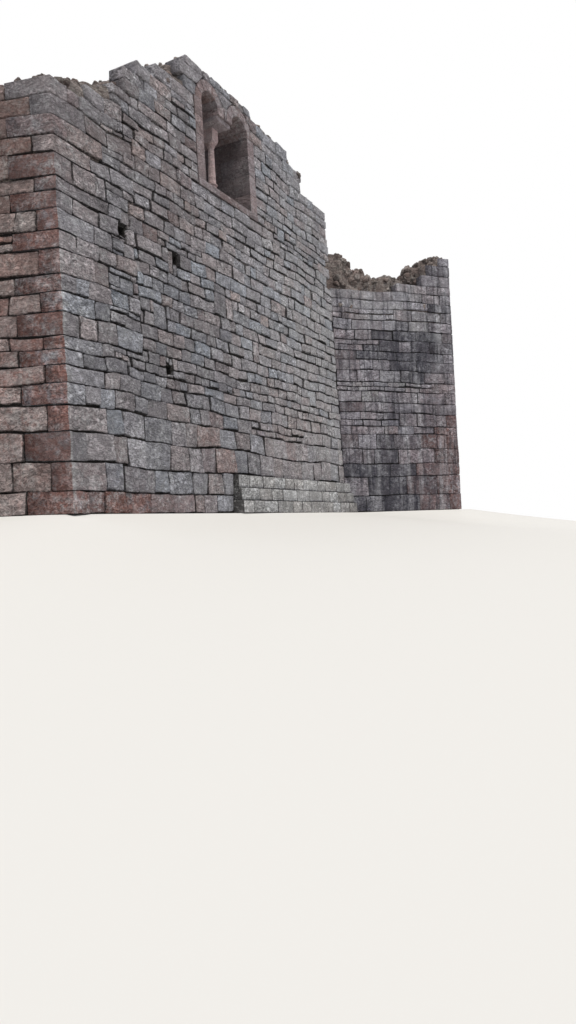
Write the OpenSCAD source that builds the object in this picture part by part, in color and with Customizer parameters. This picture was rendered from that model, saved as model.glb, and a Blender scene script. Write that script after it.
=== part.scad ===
// Ruined castle keep of sandstone ashlar: a main block with a tower set diagonally on one corner.
// Millimetres, +Z up. The origin is the middle of the footprint, at the lowest point of the walls.
// The outline runs anticlockwise from the near corner. Wall 0 is the front, 1 to 3 are the tower,
// 4 is the right side, 5 the rear and 6 the left side. Each wall is drawn in a frame of its own:
// X along the outer face, Y into the masonry, Z up.

/* [Main block] */
// Length of the front wall, from the near corner to the tower
front_len = 10330; // [9400:10:12200]
// Depth of the block, from the front face to the rear face
block_depth = 8000; // [7400:100:9600]
// Inner angle at the near corner, in degrees
corner_angle = 107; // [96:1:114]
// Distance of the right side beyond the end of the front wall
right_offset = 3000; // [2700:100:3500]

/* [Corner tower] */
// Turn of the tower's left face out of the line of the front wall, in degrees
tower_turn = 41; // [37:1:45]
// Length of the tower's left face
tower_reach = 3640; // [3300:10:4300]
// Width of the tower across its end
tower_width = 5200; // [5000:100:5700]

/* [Walls] */
// Thickness of the walls at the foot
wall_t = 1600; // [1500:50:1800]
// Width of the ledge that carries the upper floor
ledge_w = 300; // [220:20:360]
// Height of that ledge
ledge_z = 5200; // [4600:100:6000]
// Lean of the front wall's outer face, in millimetres for each metre of height
front_batter = 28; // [15:1:40]
// Lean of the tower's outer faces
tower_batter = 9; // [5:1:20]
// Lean of the right and rear outer faces
back_batter = 15; // [5:1:25]
// Lean of the left outer face
left_batter = 2; // [0:1:15]
// Thickness of the outer facing where the broken top shows it
facing_t = 420; // [340:20:500]
// Thickness of the rubble core behind it
core_t = 450; // [380:20:520]
// Mean length of one stone
stone_l = 460; // [400:20:560]
// How unevenly the tops have broken
ragged = 90; // [0:10:160]

/* [Plinth] */
// Distance of the plinth's near end from the near corner
plinth_start = 4600; // [3600:100:6000]
// Height of the plinth
plinth_h = 800; // [600:20:900]
// How far its lowest course stands out
plinth_out = 260; // [200:10:320]
// How far each course above stands back
plinth_step = 60; // [40:5:80]

/* [Twin window] */
// Distance of the front window's middle from the near corner
window_pos = 5150; // [4600:10:5700]
// Distance of the rear window's middle from the far rear corner
rear_window_pos = 9600; // [8600:100:10200]
// Height of the sill above the floor
sill_h = 1200; // [1000:10:1300]
// Thickness of the sill stone
sill_t = 150; // [120:10:200]
// Clear width of one arch
light_w = 640; // [560:10:720]
// Width of the saddle stone between the two arches
mullion_w = 520; // [480:10:560]
// Width of the dressed jamb stones
jamb_w = 280; // [260:10:340]
// Depth of the arch stones
ring_d = 220; // [180:10:240]
// Arch stones in each light
ring_n = 7; // [5:2:9]
// Masonry left over the arches
window_cover = 130; // [100:10:200]
// Distance of the colonnette's axis behind the face at the foot of the wall
column_in = 580; // [520:10:650]
// Diameter at the foot of the shaft
shaft_d = 170; // [150:5:190]
// Diameter at the head of the shaft
shaft_top_d = 125; // [110:5:140]
// Height of the shaft, with its neck ring
shaft_h = 840; // [760:10:900]
// Height of the neck ring
neck_h = 44; // [34:2:54]
// Height of the base's square foot
foot_h = 150; // [120:10:180]
// Side of the base's square foot
base_w = 260; // [250:10:280]
// Height of the mouldings over the foot
base_h = 230; // [200:10:260]
// Height of the cushion capital
capital_h = 340; // [300:10:380]
// Side of the capital
capital_w = 230; // [220:10:250]
// Height of the saddle stone over the capital
impost_h = 130; // [110:10:160]
// Height of the saddle stone's upright edge
impost_edge = 75; // [50:5:90]

/* [Doorway] */
// Distance of the doorway's middle from the far rear corner
door_pos = 4600; // [4200:100:5200]
// Clear width of the doorway
door_w = 1300; // [1100:20:1400]
// Height of the springing of its arch
door_spring = 1700; // [1500:20:1900]
// Width of its jamb stones
door_jamb_w = 420; // [400:10:500]
// Depth of its arch stones
door_ring_d = 350; // [300:10:380]
// Arch stones over the doorway
door_ring_n = 9; // [7:2:13]
// Height of the threshold
threshold_h = 150; // [100:10:200]

/* [Upper floor] */
// Height of the oak beams
beam_h = 320; // [260:10:360]
// Width of the beams
beam_w = 240; // [200:10:280]
// Distance from one beam to the next
beam_pitch = 900; // [700:50:1100]
// Thickness of the boards
board_t = 60; // [40:5:80]
// Clearance round the floor
floor_gap = 20; // [10:5:40]

/* [Scaffold sockets] */
// Width and height of a square socket
socket_w = 150; // [120:10:200]
// Depth of a socket
socket_depth = 420; // [300:20:500]

/* [Hidden] */
$fn = 64;

// Walls by number
front = 0;
tower_left = 1;
tower_end = 2;
tower_right = 3;
right = 4;
rear = 5;
left = 6;

// Outline of the foot of the walls, from the near corner round
along = [cos(tower_turn), -sin(tower_turn)];
across = [sin(tower_turn), cos(tower_turn)];
right_x = front_len + right_offset;
near_corner = [0, 0];
tower_joint = [front_len, 0];
tower_front = tower_joint + tower_reach * along;
tower_back = tower_front + tower_width * across;
tower_root = tower_back - (tower_back[0] - right_x) / along[0] * along;
far_rear = [right_x, block_depth];
near_rear = [block_depth / tan(corner_angle), block_depth];
raw = [near_corner, tower_joint, tower_front, tower_back, tower_root, far_rear, near_rear];
centre = [
    (min([for (p = raw) p[0]]) + max([for (p = raw) p[0]])) / 2,
    (min([for (p = raw) p[1]]) + max([for (p = raw) p[1]])) / 2
];
outline = [for (p = raw) p - centre];
walls = len(outline);

// Each wall's direction, inward normal and length, and the mitre line at its start
function corner(i) = outline[(i + walls) % walls];
function run(i) = corner(i + 1) - corner(i);
function dir(i) = run(i) / norm(run(i));
function inward(i) = [-dir(i)[1], dir(i)[0]];
function mitre(i) = (inward(i - 1) + inward(i)) / (1 + inward(i - 1) * inward(i));
function inset(i, depth) = corner(i) + depth * mitre(i);
function wall_len(i) = norm(run(i));

// Levels and sizes that follow
leans = [front_batter, tower_batter, tower_batter, tower_batter, back_batter, back_batter, left_batter];
function lean(i) = leans[i] / 1000;
upper_t = wall_t - ledge_w;
top_z = 2.2 * ledge_z;
floor_top = ledge_z + beam_h + board_t;
sill_z = floor_top + sill_h;
base_z = sill_z + foot_h;
shaft_z = base_z + base_h;
capital_z = shaft_z + shaft_h;
impost_z = capital_z + capital_h;
spring_z = impost_z + impost_h;
light_r = light_w / 2;
light_off = (light_w + mullion_w) / 2;
light_edge = light_off + light_r;
window_half = light_edge + jamb_w;
head_z = spring_z + light_r + ring_d + window_cover;
door_half = door_w / 2 + door_jamb_w;
joint = 8;

// How far walls are drawn on past their corners before they are cut, and a length past everything
reach = 2 * wall_t;
far = 30000;
// Stones of the broken tops that lie before a wall's start, and as many past its end, and the
// least step from one to the next
lead = 9;
chip = 60;
windows = [[front, window_pos], [rear, rear_window_pos]];

// What ends each wall: [neighbour, 0 its outer or 1 its inner face, -1 cut away before or 1 behind it]
ends = [
    [[left, 0, -1], [tower_left, 0, 1]],
    [[front, 1, 1], [tower_end, 0, -1]],
    [[tower_left, 1, -1], [tower_right, 1, -1]],
    [[tower_end, 0, -1], [right, 1, 1]],
    [[tower_right, 0, 1], [rear, 1, -1]],
    [[right, 0, -1], [left, 0, -1]],
    [[rear, 1, -1], [front, 1, -1]]
];

// Line of the broken top of each wall: distance along the wall, height above the ledge
crests = [
    [[0, 1420], [800, 1850], [1570, 2200], [1940, 2500], [2610, 2900], [3260, 3300], [4000, 3900],
     [6300, 3900], [7040, 3750], [8300, 3600], [8950, 3000], [9890, 2850], [10300, 2450]],
    [[0, 2000], [370, 1800], [820, 1560], [1430, 1280], [2130, 1360], [2460, 1470], [2750, 1800],
     [3640, 2100]],
    [[0, 2080], [1400, 1800], [2600, 1350], [3900, 1600], [5200, 1500]],
    [[0, 1500], [1800, 1100], [3200, 1350], [4400, 1500]],
    [[0, 1500], [1800, 1900], [3700, 2100]],
    [[0, 2100], [2200, 2500], [4200, 1900], [6500, 2200], [7800, 3600], [8500, 3900],
     [10700, 3900], [12000, 2900], [13500, 2200], [15700, 1700]],
    [[0, 1700], [2500, 1400], [4500, 1450], [6600, 1780], [7900, 1760], [8400, 1500]]
];
// The tower's facing has fallen away from the core on its left face
tower_facing = [[0, 620], [1550, 420], [2690, 790], [2850, 1880], [3640, 2080]];
// How much lower the facing, the core and the inner leaf stand than that line
band_drop = [0, -120, 180];
// Sockets of the scaffold in the front wall: distance along it, height
sockets = [[1500, 4870], [3020, 4810], [2630, 2650]];

// Puts a child drawn in a wall's own frame where that wall stands
module at_wall(i) {
    translate([corner(i)[0], corner(i)[1], 0])
        rotate([0, 0, atan2(dir(i)[1], dir(i)[0])])
            children();
}

// The wall's leaning section from z0 to z1, as a bar along the wall, inner face at depth t
module bar(i, z0, z1, t) {
    translate([-reach, 0, 0])
        rotate([90, 0, 90])
            linear_extrude(wall_len(i) + 2 * reach)
                polygon([[z0 * lean(i), z0], [t, z0], [t, z1], [z1 * lean(i), z1]]);
}

// Everything before (side -1) or behind (side 1) a wall's outer face, or its inner face at depth t
module side_of(i, inner, side, t) {
    low = -1;
    at_wall(i)
        translate([-far, 0, 0])
            rotate([90, 0, 90])
                linear_extrude(2 * far + wall_len(i))
                    polygon([
                        [inner * t + (1 - inner) * low * lean(i), low], [side * far, low],
                        [side * far, top_z - low],
                        [inner * t + (1 - inner) * (top_z - low) * lean(i), top_z - low]
                    ]);
}

// Cuts a wall at its two corners
module between_ends(i, t) {
    difference() {
        children();
        for (e = ends[i])
            side_of(e[0], e[1], e[2], t);
    }
}

// One wall from z0 to z1, less the children drawn in the wall's frame
module wall(i, z0, z1, t) {
    between_ends(i, t)
        at_wall(i)
            difference() {
                bar(i, z0, z1, t);
                children();
            }
}

// Keeps what lies inside the wall's leaning section between two heights
module dressed(i, t) {
    at_wall(i)
        intersection() {
            bar(i, 0, top_z, t);
            children();
        }
}

// A box in a wall's frame, through its whole thickness
module slot(s0, s1, z0, z1) {
    translate([s0, -reach / 2, z0])
        cube([s1 - s0, wall_t + reach, z1 - z0]);
}

// Broken top of one band of a wall, as an outline stepped by stones that start at `start`
function broken(pts, start, count, seed) = let (off = rands(-ragged, ragged, count, seed)) [
    for (j = [0:count - 1], k = [0, 1])
        let (s = start + j * stone_l)
            [s + k * stone_l, ledge_z + chip * round((lookup(s + stone_l / 2, pts) + off[j]) / chip)]
];

// Bands side by side have their steps a third of a stone apart, so that no two corners meet
module band(i, b, n0, n1) {
    start = (b / 3 - lead) * stone_l;
    count = ceil(wall_len(i) / stone_l) + 2 * lead;
    translate([0, n1, 0])
        rotate([90, 0, 0])
            linear_extrude(n1 - n0)
                polygon(concat(
                    [[start + count * stone_l, ledge_z], [start, ledge_z]],
                    broken(lowered(i, b), start, count, 10 * i + b)
                ));
}

// Upper wall with its broken top: facing, core and inner leaf end at different heights
module upper_wall(i, s0 = -reach, s1 = far) {
    edges = [-reach / 2, facing_t, facing_t + core_t, upper_t];
    between_ends(i, upper_t)
        at_wall(i)
            intersection() {
                bar(i, ledge_z, top_z, upper_t);
                slot(s0, s1, ledge_z, top_z);
                union()
                    for (b = [0:2])
                        band(i, b, edges[b], edges[b + 1]);
            }
}
function lowered(i, b) = i == tower_left && b == 0
    ? tower_facing
    : [for (p = crests[i]) [p[0], p[1] - band_drop[b]]];

// Round arch through a wall, as separate wedge stones with open joints
module arch_stones(r, d, count, s, z) {
    translate([s, 0, z])
        rotate([-90, 0, 0])
            difference() {
                translate([0, 0, -reach / 2])
                    cylinder(r = r + d, h = wall_t + reach);
                translate([0, 0, -reach])
                    cylinder(r = r, h = wall_t + 2 * reach);
                translate([-r - d - joint, 0, -reach])
                    cube([2 * (r + d + joint), r + d + joint, wall_t + 2 * reach]);
                for (k = [1:count - 1])
                    rotate([0, 0, -k * 180 / count])
                        translate([r / 2, -joint / 2, -reach])
                            cube([r / 2 + d + joint, joint, wall_t + 2 * reach]);
            }
}

module arch_hole(r, s, z) {
    translate([s, 0, z])
        rotate([-90, 0, 0])
            translate([0, 0, -reach / 2])
                cylinder(r = r, h = wall_t + reach);
}

// Lower walls
module lower_wall(i) { wall(i, 0, ledge_z, wall_t) children(); }

module front_wall_lower() {
    color("#8d8681")
        lower_wall(front)
            for (p = sockets)
                translate([p[0] - socket_w / 2, -reach, p[1] - socket_w / 2])
                    cube([socket_w, reach + lean(front) * p[1] + socket_depth, socket_w]);
}
module left_wall_lower() { color("#8a5f55") lower_wall(left); }
module right_wall_lower() { color("#7d6b66") lower_wall(right); }
module tower_left_wall_lower() { color("#6f5f60") lower_wall(tower_left); }
module tower_end_wall_lower() { color("#6f5f60") lower_wall(tower_end); }
module tower_right_wall_lower() { color("#6f5f60") lower_wall(tower_right); }
module rear_wall_lower_left() {
    color("#86807b") lower_wall(rear) slot(door_pos - door_half, wall_len(rear) + reach, -1, top_z);
}
module rear_wall_lower_right() {
    color("#86807b") lower_wall(rear) slot(-reach, door_pos + door_half, -1, top_z);
}
module rear_wall_over_door() {
    color("#86807b")
        lower_wall(rear) {
            slot(-reach - 1, door_pos - door_half, -1, top_z);
            slot(door_pos + door_half, wall_len(rear) + reach + 1, -1, top_z);
            slot(door_pos - door_half - 1, door_pos + door_half + 1, -1, door_spring);
            arch_hole(door_w / 2 + door_ring_d, door_pos, door_spring);
        }
}

// Upper walls beside, under and over the windows
module beside_window(i, pos, side) {
    if (side < 0)
        upper_wall(i, s1 = pos - window_half);
    else
        upper_wall(i, s0 = pos + window_half);
}
module window_breast(i, pos) {
    wall(i, ledge_z, sill_z - sill_t, upper_t) {
        slot(-reach - 1, pos - window_half, ledge_z - 1, top_z);
        slot(pos + window_half, wall_len(i) + reach + 1, ledge_z - 1, top_z);
    }
}
module window_head(i, pos) {
    wall(i, spring_z, head_z, upper_t) {
        slot(-reach - 1, pos - window_half, ledge_z, top_z);
        slot(pos + window_half, wall_len(i) + reach + 1, ledge_z, top_z);
        for (side = [-1, 1])
            arch_hole(light_r + ring_d, pos + side * light_off, spring_z);
    }
}

module front_wall_upper_left() { color("#8d8681") beside_window(front, window_pos, -1); }
module front_wall_upper_right() { color("#8d8681") beside_window(front, window_pos, 1); }
module front_window_breast() { color("#8d8681") window_breast(front, window_pos); }
module front_window_head() { color("#8d8681") window_head(front, window_pos); }
module rear_wall_upper_left() { color("#86807b") beside_window(rear, rear_window_pos, 1); }
module rear_wall_upper_right() { color("#86807b") beside_window(rear, rear_window_pos, -1); }
module rear_window_breast() { color("#86807b") window_breast(rear, rear_window_pos); }
module rear_window_head() { color("#86807b") window_head(rear, rear_window_pos); }
module left_wall_upper() { color("#8a5f55") upper_wall(left); }
module right_wall_upper() { color("#7d6b66") upper_wall(right); }
module tower_left_wall_upper() { color("#6f5f60") upper_wall(tower_left); }
module tower_end_wall_upper() { color("#6f5f60") upper_wall(tower_end); }
module tower_right_wall_upper() { color("#6f5f60") upper_wall(tower_right); }

// Stepped plinth of three courses against the foot of the front wall, up to the tower's face
module front_plinth() {
    rise = plinth_h / 3;
    color("#b5b0a8")
        difference() {
            at_wall(front)
                translate([plinth_start, 0, 0])
                    rotate([90, 0, 90])
                        linear_extrude(front_len + plinth_out - plinth_start)
                            polygon([
                                [0, 0], [plinth_h * lean(front), plinth_h],
                                [2 * plinth_step - plinth_out, plinth_h],
                                [2 * plinth_step - plinth_out, 2 * rise],
                                [plinth_step - plinth_out, 2 * rise],
                                [plinth_step - plinth_out, rise],
                                [-plinth_out, rise], [-plinth_out, 0]
                            ]);
            side_of(tower_left, 0, 1, wall_t);
        }
}

// Twin window: sill, jambs, colonnette with base and cushion capital, saddle stone, arches
module each_window() {
    for (w = windows)
        dressed(w[0], upper_t)
            translate([w[1], 0, 0])
                children();
}
module on_column() {
    for (w = windows)
        at_wall(w[0])
            translate([w[1], column_in, 0])
                children();
}

module window_sills() {
    color("#9b7b72") each_window() slot(-window_half, window_half, sill_z - sill_t, sill_z);
}
module window_jambs() {
    color("#9b7b72")
        each_window()
            for (side = [0, 1])
                mirror([side, 0, 0])
                    slot(light_edge, window_half, sill_z, spring_z);
}
module column_bases() {
    roll = 0.34 * base_h;
    fillet = 0.2 * base_h;
    hollow = base_h - roll - fillet;
    waist = shaft_d / 2 + 0.1 * hollow;
    color("#a5877a")
        on_column() {
            translate([-base_w / 2, -base_w / 2, sill_z])
                cube([base_w, base_w, foot_h]);
            translate([0, 0, base_z])
                rotate_extrude()
                    difference() {
                        union() {
                            square([waist, base_h]);
                            square([(base_w - roll) / 2, roll]);
                            translate([(base_w - roll) / 2, roll / 2])
                                circle(d = roll);
                            translate([waist, base_h - fillet / 2])
                                circle(d = fillet);
                        }
                        translate([waist + 0.4 * hollow, roll + hollow / 2])
                            circle(d = hollow);
                    }
        }
}
module column_shafts() {
    color("#a5877a")
        on_column()
            translate([0, 0, shaft_z]) {
                cylinder(d1 = shaft_d, d2 = shaft_top_d, h = shaft_h);
                translate([0, 0, shaft_h - neck_h])
                    rotate_extrude()
                        intersection() {
                            translate([shaft_top_d / 2, neck_h / 2])
                                circle(d = neck_h);
                            square([shaft_d, neck_h]);
                        }
            }
}
// A ball cut by a cube: round where it meets the shaft, square under the saddle stone
module column_capitals() {
    ball = capital_w / sqrt(2);
    cushion = sqrt(pow(ball, 2) - pow(shaft_top_d / 2, 2));
    color("#a5877a")
        on_column()
            translate([0, 0, capital_z])
                intersection() {
                    translate([-capital_w / 2, -capital_w / 2, 0])
                        cube([capital_w, capital_w, capital_h]);
                    rotate_extrude()
                        union() {
                            intersection() {
                                translate([0, cushion])
                                    circle(r = ball);
                                square([capital_w, cushion]);
                            }
                            translate([0, cushion])
                                square([capital_w, capital_h - cushion]);
                        }
                }
}
// The saddle stone flares from the capital to both faces of the wall and to both arches
module window_imposts() {
    seat = capital_w / 2;
    edge_z = impost_h - impost_edge;
    color("#a5877a")
        each_window()
            translate([0, 0, impost_z])
                intersection() {
                    translate([-mullion_w, 0, 0])
                        rotate([90, 0, 90])
                            linear_extrude(2 * mullion_w)
                                polygon([
                                    [column_in - seat, 0], [column_in + seat, 0],
                                    [upper_t, edge_z], [upper_t, impost_h],
                                    [0, impost_h], [0, edge_z]
                                ]);
                    translate([0, upper_t + reach, 0])
                        rotate([90, 0, 0])
                            linear_extrude(upper_t + 2 * reach)
                                polygon([
                                    [-seat, 0], [seat, 0], [mullion_w / 2, edge_z],
                                    [mullion_w / 2, impost_h], [-mullion_w / 2, impost_h],
                                    [-mullion_w / 2, edge_z]
                                ]);
                }
}
module window_arches() {
    color("#9b7b72")
        each_window()
            for (side = [0, 1])
                mirror([side, 0, 0])
                    intersection() {
                        arch_stones(light_r, ring_d, ring_n, light_off, spring_z);
                        slot(joint / 2, window_half, spring_z, head_z);
                    }
}

// Doorway in the rear wall, without a leaf
module at_door() {
    dressed(rear, wall_t)
        translate([door_pos, 0, 0])
            children();
}
module door_threshold() {
    color("#8f8178") at_door() slot(-door_w / 2, door_w / 2, 0, threshold_h);
}
module door_jambs() {
    color("#9b7b72")
        at_door()
            for (side = [0, 1])
                mirror([side, 0, 0])
                    slot(door_w / 2, door_half, 0, door_spring);
}
module door_arch() {
    color("#9b7b72") at_door() arch_stones(door_w / 2, door_ring_d, door_ring_n, 0, door_spring);
}

// Upper floor: beams on the ledge, boards over them. A trimmer crosses the mouth of the tower.
floor_in = upper_t + floor_gap;
mouth_start = inset(tower_left, floor_in);
mouth_end = inset(right, floor_in);
mouth_angle = atan2(mouth_end[1] - mouth_start[1], mouth_end[0] - mouth_start[0]);

module floor_plan(z, h) {
    translate([0, 0, z])
        linear_extrude(h)
            polygon([for (i = [0:walls - 1]) inset(i, floor_in)]);
}
// Half of the plan beside the mouth of the tower, side -1 towards the tower, 1 towards the block
module mouth_half(side, gap, z, h) {
    translate([mouth_start[0], mouth_start[1], z])
        rotate([0, 0, mouth_angle])
            translate([-far, side > 0 ? gap : -far - gap, 0])
                cube([2 * far, far, h]);
}
module beam_grid(origin, angle, z) {
    half = ceil(1.2 * front_len / beam_pitch);
    translate([origin[0], origin[1], z])
        rotate([0, 0, angle])
            for (k = [-half:half])
                translate([(k + 0.5) * beam_pitch - beam_w / 2, -far, 0])
                    cube([beam_w, 2 * far, beam_h]);
}
module floor_beams() {
    color("#7a5f45")
        intersection() {
            floor_plan(ledge_z, beam_h);
            union() {
                intersection() {
                    beam_grid(mouth_start, 0, ledge_z);
                    mouth_half(1, beam_w / 2 + joint, ledge_z - 1, beam_h + 2);
                }
                translate([mouth_start[0], mouth_start[1], ledge_z])
                    rotate([0, 0, mouth_angle])
                        translate([-reach, -beam_w / 2, 0])
                            cube([norm(mouth_end - mouth_start) + 2 * reach, beam_w, beam_h]);
            }
        }
}
module tower_floor_beams() {
    color("#7a5f45")
        intersection() {
            floor_plan(ledge_z, beam_h);
            beam_grid(inset(tower_front_corner, floor_in), -tower_turn, ledge_z);
            mouth_half(-1, beam_w / 2 + joint, ledge_z - 1, beam_h + 2);
        }
}
tower_front_corner = 2;
module floor_boards() {
    color("#8b7052")
        intersection() {
            floor_plan(ledge_z + beam_h, board_t);
            mouth_half(1, joint / 2, ledge_z, beam_h + 2 * board_t);
        }
}
module tower_floor_boards() {
    color("#8b7052")
        intersection() {
            floor_plan(ledge_z + beam_h, board_t);
            mouth_half(-1, joint / 2, ledge_z, beam_h + 2 * board_t);
        }
}

front_plinth();
front_wall_lower();
front_wall_upper_left();
front_wall_upper_right();
front_window_breast();
front_window_head();
left_wall_lower();
left_wall_upper();
rear_wall_lower_left();
rear_wall_lower_right();
rear_wall_over_door();
rear_wall_upper_left();
rear_wall_upper_right();
rear_window_breast();
rear_window_head();
right_wall_lower();
right_wall_upper();
tower_left_wall_lower();
tower_left_wall_upper();
tower_end_wall_lower();
tower_end_wall_upper();
tower_right_wall_lower();
tower_right_wall_upper();
window_sills();
window_jambs();
column_bases();
column_shafts();
column_capitals();
window_imposts();
window_arches();
door_threshold();
door_jambs();
door_arch();
floor_beams();
floor_boards();
tower_floor_beams();
tower_floor_boards();
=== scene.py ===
import bpy, bmesh, math, random
from functools import partial
from mathutils import Matrix, Vector, noise
from mathutils.bvhtree import BVHTree


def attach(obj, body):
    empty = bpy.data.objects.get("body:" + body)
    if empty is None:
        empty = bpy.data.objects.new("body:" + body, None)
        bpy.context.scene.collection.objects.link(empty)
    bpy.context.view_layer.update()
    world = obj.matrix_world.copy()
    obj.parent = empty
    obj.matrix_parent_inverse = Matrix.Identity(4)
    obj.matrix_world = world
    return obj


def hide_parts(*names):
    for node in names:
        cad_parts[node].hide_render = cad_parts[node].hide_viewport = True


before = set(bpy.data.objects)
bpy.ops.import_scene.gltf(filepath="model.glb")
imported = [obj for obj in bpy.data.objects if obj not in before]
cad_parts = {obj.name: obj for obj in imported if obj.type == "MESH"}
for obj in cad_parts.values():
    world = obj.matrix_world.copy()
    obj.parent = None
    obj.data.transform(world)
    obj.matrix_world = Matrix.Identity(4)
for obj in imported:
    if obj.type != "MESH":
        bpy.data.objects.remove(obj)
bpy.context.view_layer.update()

scene = bpy.context.scene

# Plan and levels of the keep in metres, as its solids have them
keep = dict(frontLen=10.33, depth=8.0, cornerAngle=107.0, rightOffset=3.0, towerTurn=41.0,
            towerReach=3.64, towerWidth=5.2, wallT=1.6, upperT=1.3, ledgeZ=5.2, floorTop=5.58,
            boardT=0.06)
# How far each outer face leans in on a metre of height, from the front round
leans = dict(front=0.028, towerLeft=0.009, towerEnd=0.009, towerRight=0.009, right=0.015,
             rear=0.015, left=0.002)
window = dict(front=5.15, rear=9.6, sillZ=6.78, sillT=0.15, springZ=8.47, archZ=8.9, radius=0.32,
              off=0.58, jambW=0.28, ringD=0.22, ringCount=7)
doorway = dict(middle=4.6, half=0.65, jambW=0.42, springZ=1.7, ringD=0.35, ringCount=9,
               threshold=0.15)
plinth = dict(start=4.6, rise=0.8 / 3, out=0.26, step=0.06, courses=3)
sockets = dict(places=[(1.5, 4.87), (3.02, 4.81), (2.63, 2.65)], half=0.075, worn=0.02)
proud = 0.050  # how far the stones stand before the mortar


# The walls from the near corner round: start, direction and inward normal of each in plan
def wallPlan(k):
    turn = math.radians(k["towerTurn"])
    along = Vector((math.cos(turn), -math.sin(turn)))
    across = Vector((math.sin(turn), math.cos(turn)))
    rightX = k["frontLen"] + k["rightOffset"]
    joint = Vector((k["frontLen"], 0))
    towerFront = joint + k["towerReach"] * along
    towerBack = towerFront + k["towerWidth"] * across
    root = towerBack - (towerBack.x - rightX) / along.x * along
    nearRear = Vector((k["depth"] / math.tan(math.radians(k["cornerAngle"])), k["depth"]))
    farRear = Vector((rightX, k["depth"]))
    corners = [Vector((0, 0)), joint, towerFront, towerBack, root, farRear, nearRear]
    xs, ys = [p.x for p in corners], [p.y for p in corners]
    centre = Vector(((min(xs) + max(xs)) / 2, (min(ys) + max(ys)) / 2))
    found = []
    for i, (name, lean) in enumerate(leans.items()):
        start, stop = corners[i] - centre, corners[(i + 1) % len(corners)] - centre
        d = (stop - start).normalized()
        found.append(dict(name=name, number=i, start=start, dir=d, inward=Vector((-d.y, d.x)),
                          length=(stop - start).length, lean=lean))
    return found


walls = wallPlan(keep)
wallOf = {w["name"]: w for w in walls}


# Distance along wall i at which its plane, set back by mine, meets its neighbour's, set back by theirs
def crossing(i, j, mine, theirs):
    w, o = walls[i], walls[j]
    s = (theirs - mine * w["inward"].dot(o["inward"])) / w["dir"].dot(o["inward"])
    return s if j == (i - 1) % len(walls) else w["length"] + s


# Matrix from a face's own frame (X along it, Y into the masonry, Z up) to the keep's frame
def faceMatrix(w, inner=False, depth=0.0):
    d, n, lean, start = w["dir"], w["inward"], w["lean"], w["start"]
    if inner:
        start = start + w["length"] * d + depth * n
        d, n, lean = -d, -n, 0.0
    return Matrix(((d.x, n.x, n.x * lean, start.x), (d.y, n.y, n.y * lean, start.y),
                   (0, 0, 1, 0), (0, 0, 0, 1)))


def nodesTree(names):
    points, faces = [], []
    for name in names:
        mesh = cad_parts[name].data
        base = len(points)
        points += [v.co.copy() for v in mesh.vertices]
        faces += [[base + k for k in p.vertices] for p in mesh.polygons]
    return BVHTree.FromPolygons(points, faces)


everything = nodesTree(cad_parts)
brokenTops = nodesTree([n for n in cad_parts
                        if "wall_upper" in n or "window_breast" in n or "window_head" in n])


# Height of the broken top. Where a leaning side lies over a sharp corner, it is read further along.
def crestAt(w, s, depth):
    further = 0.25 if s < w["length"] / 2 else -0.25
    for along in (s, s + further):
        p = w["start"] + along * w["dir"] + depth * w["inward"]
        hit, normal = brokenTops.ray_cast(Vector((p.x, p.y, 20)), Vector((0, 0, -1)))[:2]
        if hit and normal.z > 0.5:
            return hit.z
    return keep["ledgeZ"]


# The photograph's viewpoint, in plan from the near corner: metres, degrees, lens in millimetres
viewpoint = dict(alongWall=-8.873, beforeWall=-8.374, eyeHeight=-0.30, heading=27.8, pitch=1.04,
                 roll=-2.12, lens=27.07, sensor=36.0)


def addCamera(v):
    data = bpy.data.cameras.new("camera")
    data.lens, data.sensor_width = v["lens"], v["sensor"]
    cam = bpy.data.objects.new("camera", data)
    scene.collection.objects.link(cam)
    place = Vector((v["alongWall"], v["beforeWall"], v["eyeHeight"]))
    cam.location = wallOf["front"]["start"].to_3d() + place
    # a camera looks along -Z: it is tipped up, turned to the heading, then rolled about its own axis
    turn = Matrix.Rotation(math.radians(v["heading"] - 90), 4, "Z")
    tip = Matrix.Rotation(math.radians(90 + v["pitch"]), 4, "X")
    roll = Matrix.Rotation(math.radians(v["roll"]), 4, "Z")
    cam.rotation_euler = (turn @ tip @ roll).to_euler()
    scene.camera = cam
    print("camera at", tuple(round(c, 2) for c in cam.location))


addCamera(viewpoint)


# Colour from a hex string
def colour(code):
    parts = [int(code[k:k + 2], 16) / 255 for k in (1, 3, 5)]
    return tuple(c / 12.92 if c <= 0.04045 else ((c + 0.055) / 1.055) ** 2.4 for c in parts) + (1.0,)


def clamped(value):
    return max(0.0, min(1.0, value))


# Adds a node with its settings, sets or links its inputs by name or in order, gives its first output
def addNode(tree, kind, inputs=(), **settings):
    made = tree.nodes.new(kind)
    for name, value in settings.items():
        setattr(made, name, value)
    for key, value in inputs.items() if isinstance(inputs, dict) else enumerate(inputs):
        if isinstance(value, bpy.types.NodeSocket):
            tree.links.new(value, made.inputs[key])
        else:
            made.inputs[key].default_value = value
    return next((s for s in made.outputs if s.enabled), None)


# Empty node tree of a world or a material
def freshTree(owner):
    owner.use_nodes = True
    owner.node_tree.nodes.clear()
    return owner.node_tree


light = dict(sky="#eef2fb", strength=0.72, sun="#fffaf2", sunStrength=2.3, sunAngle=22, sunTurn=-36,
             sunHeight=63)


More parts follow.
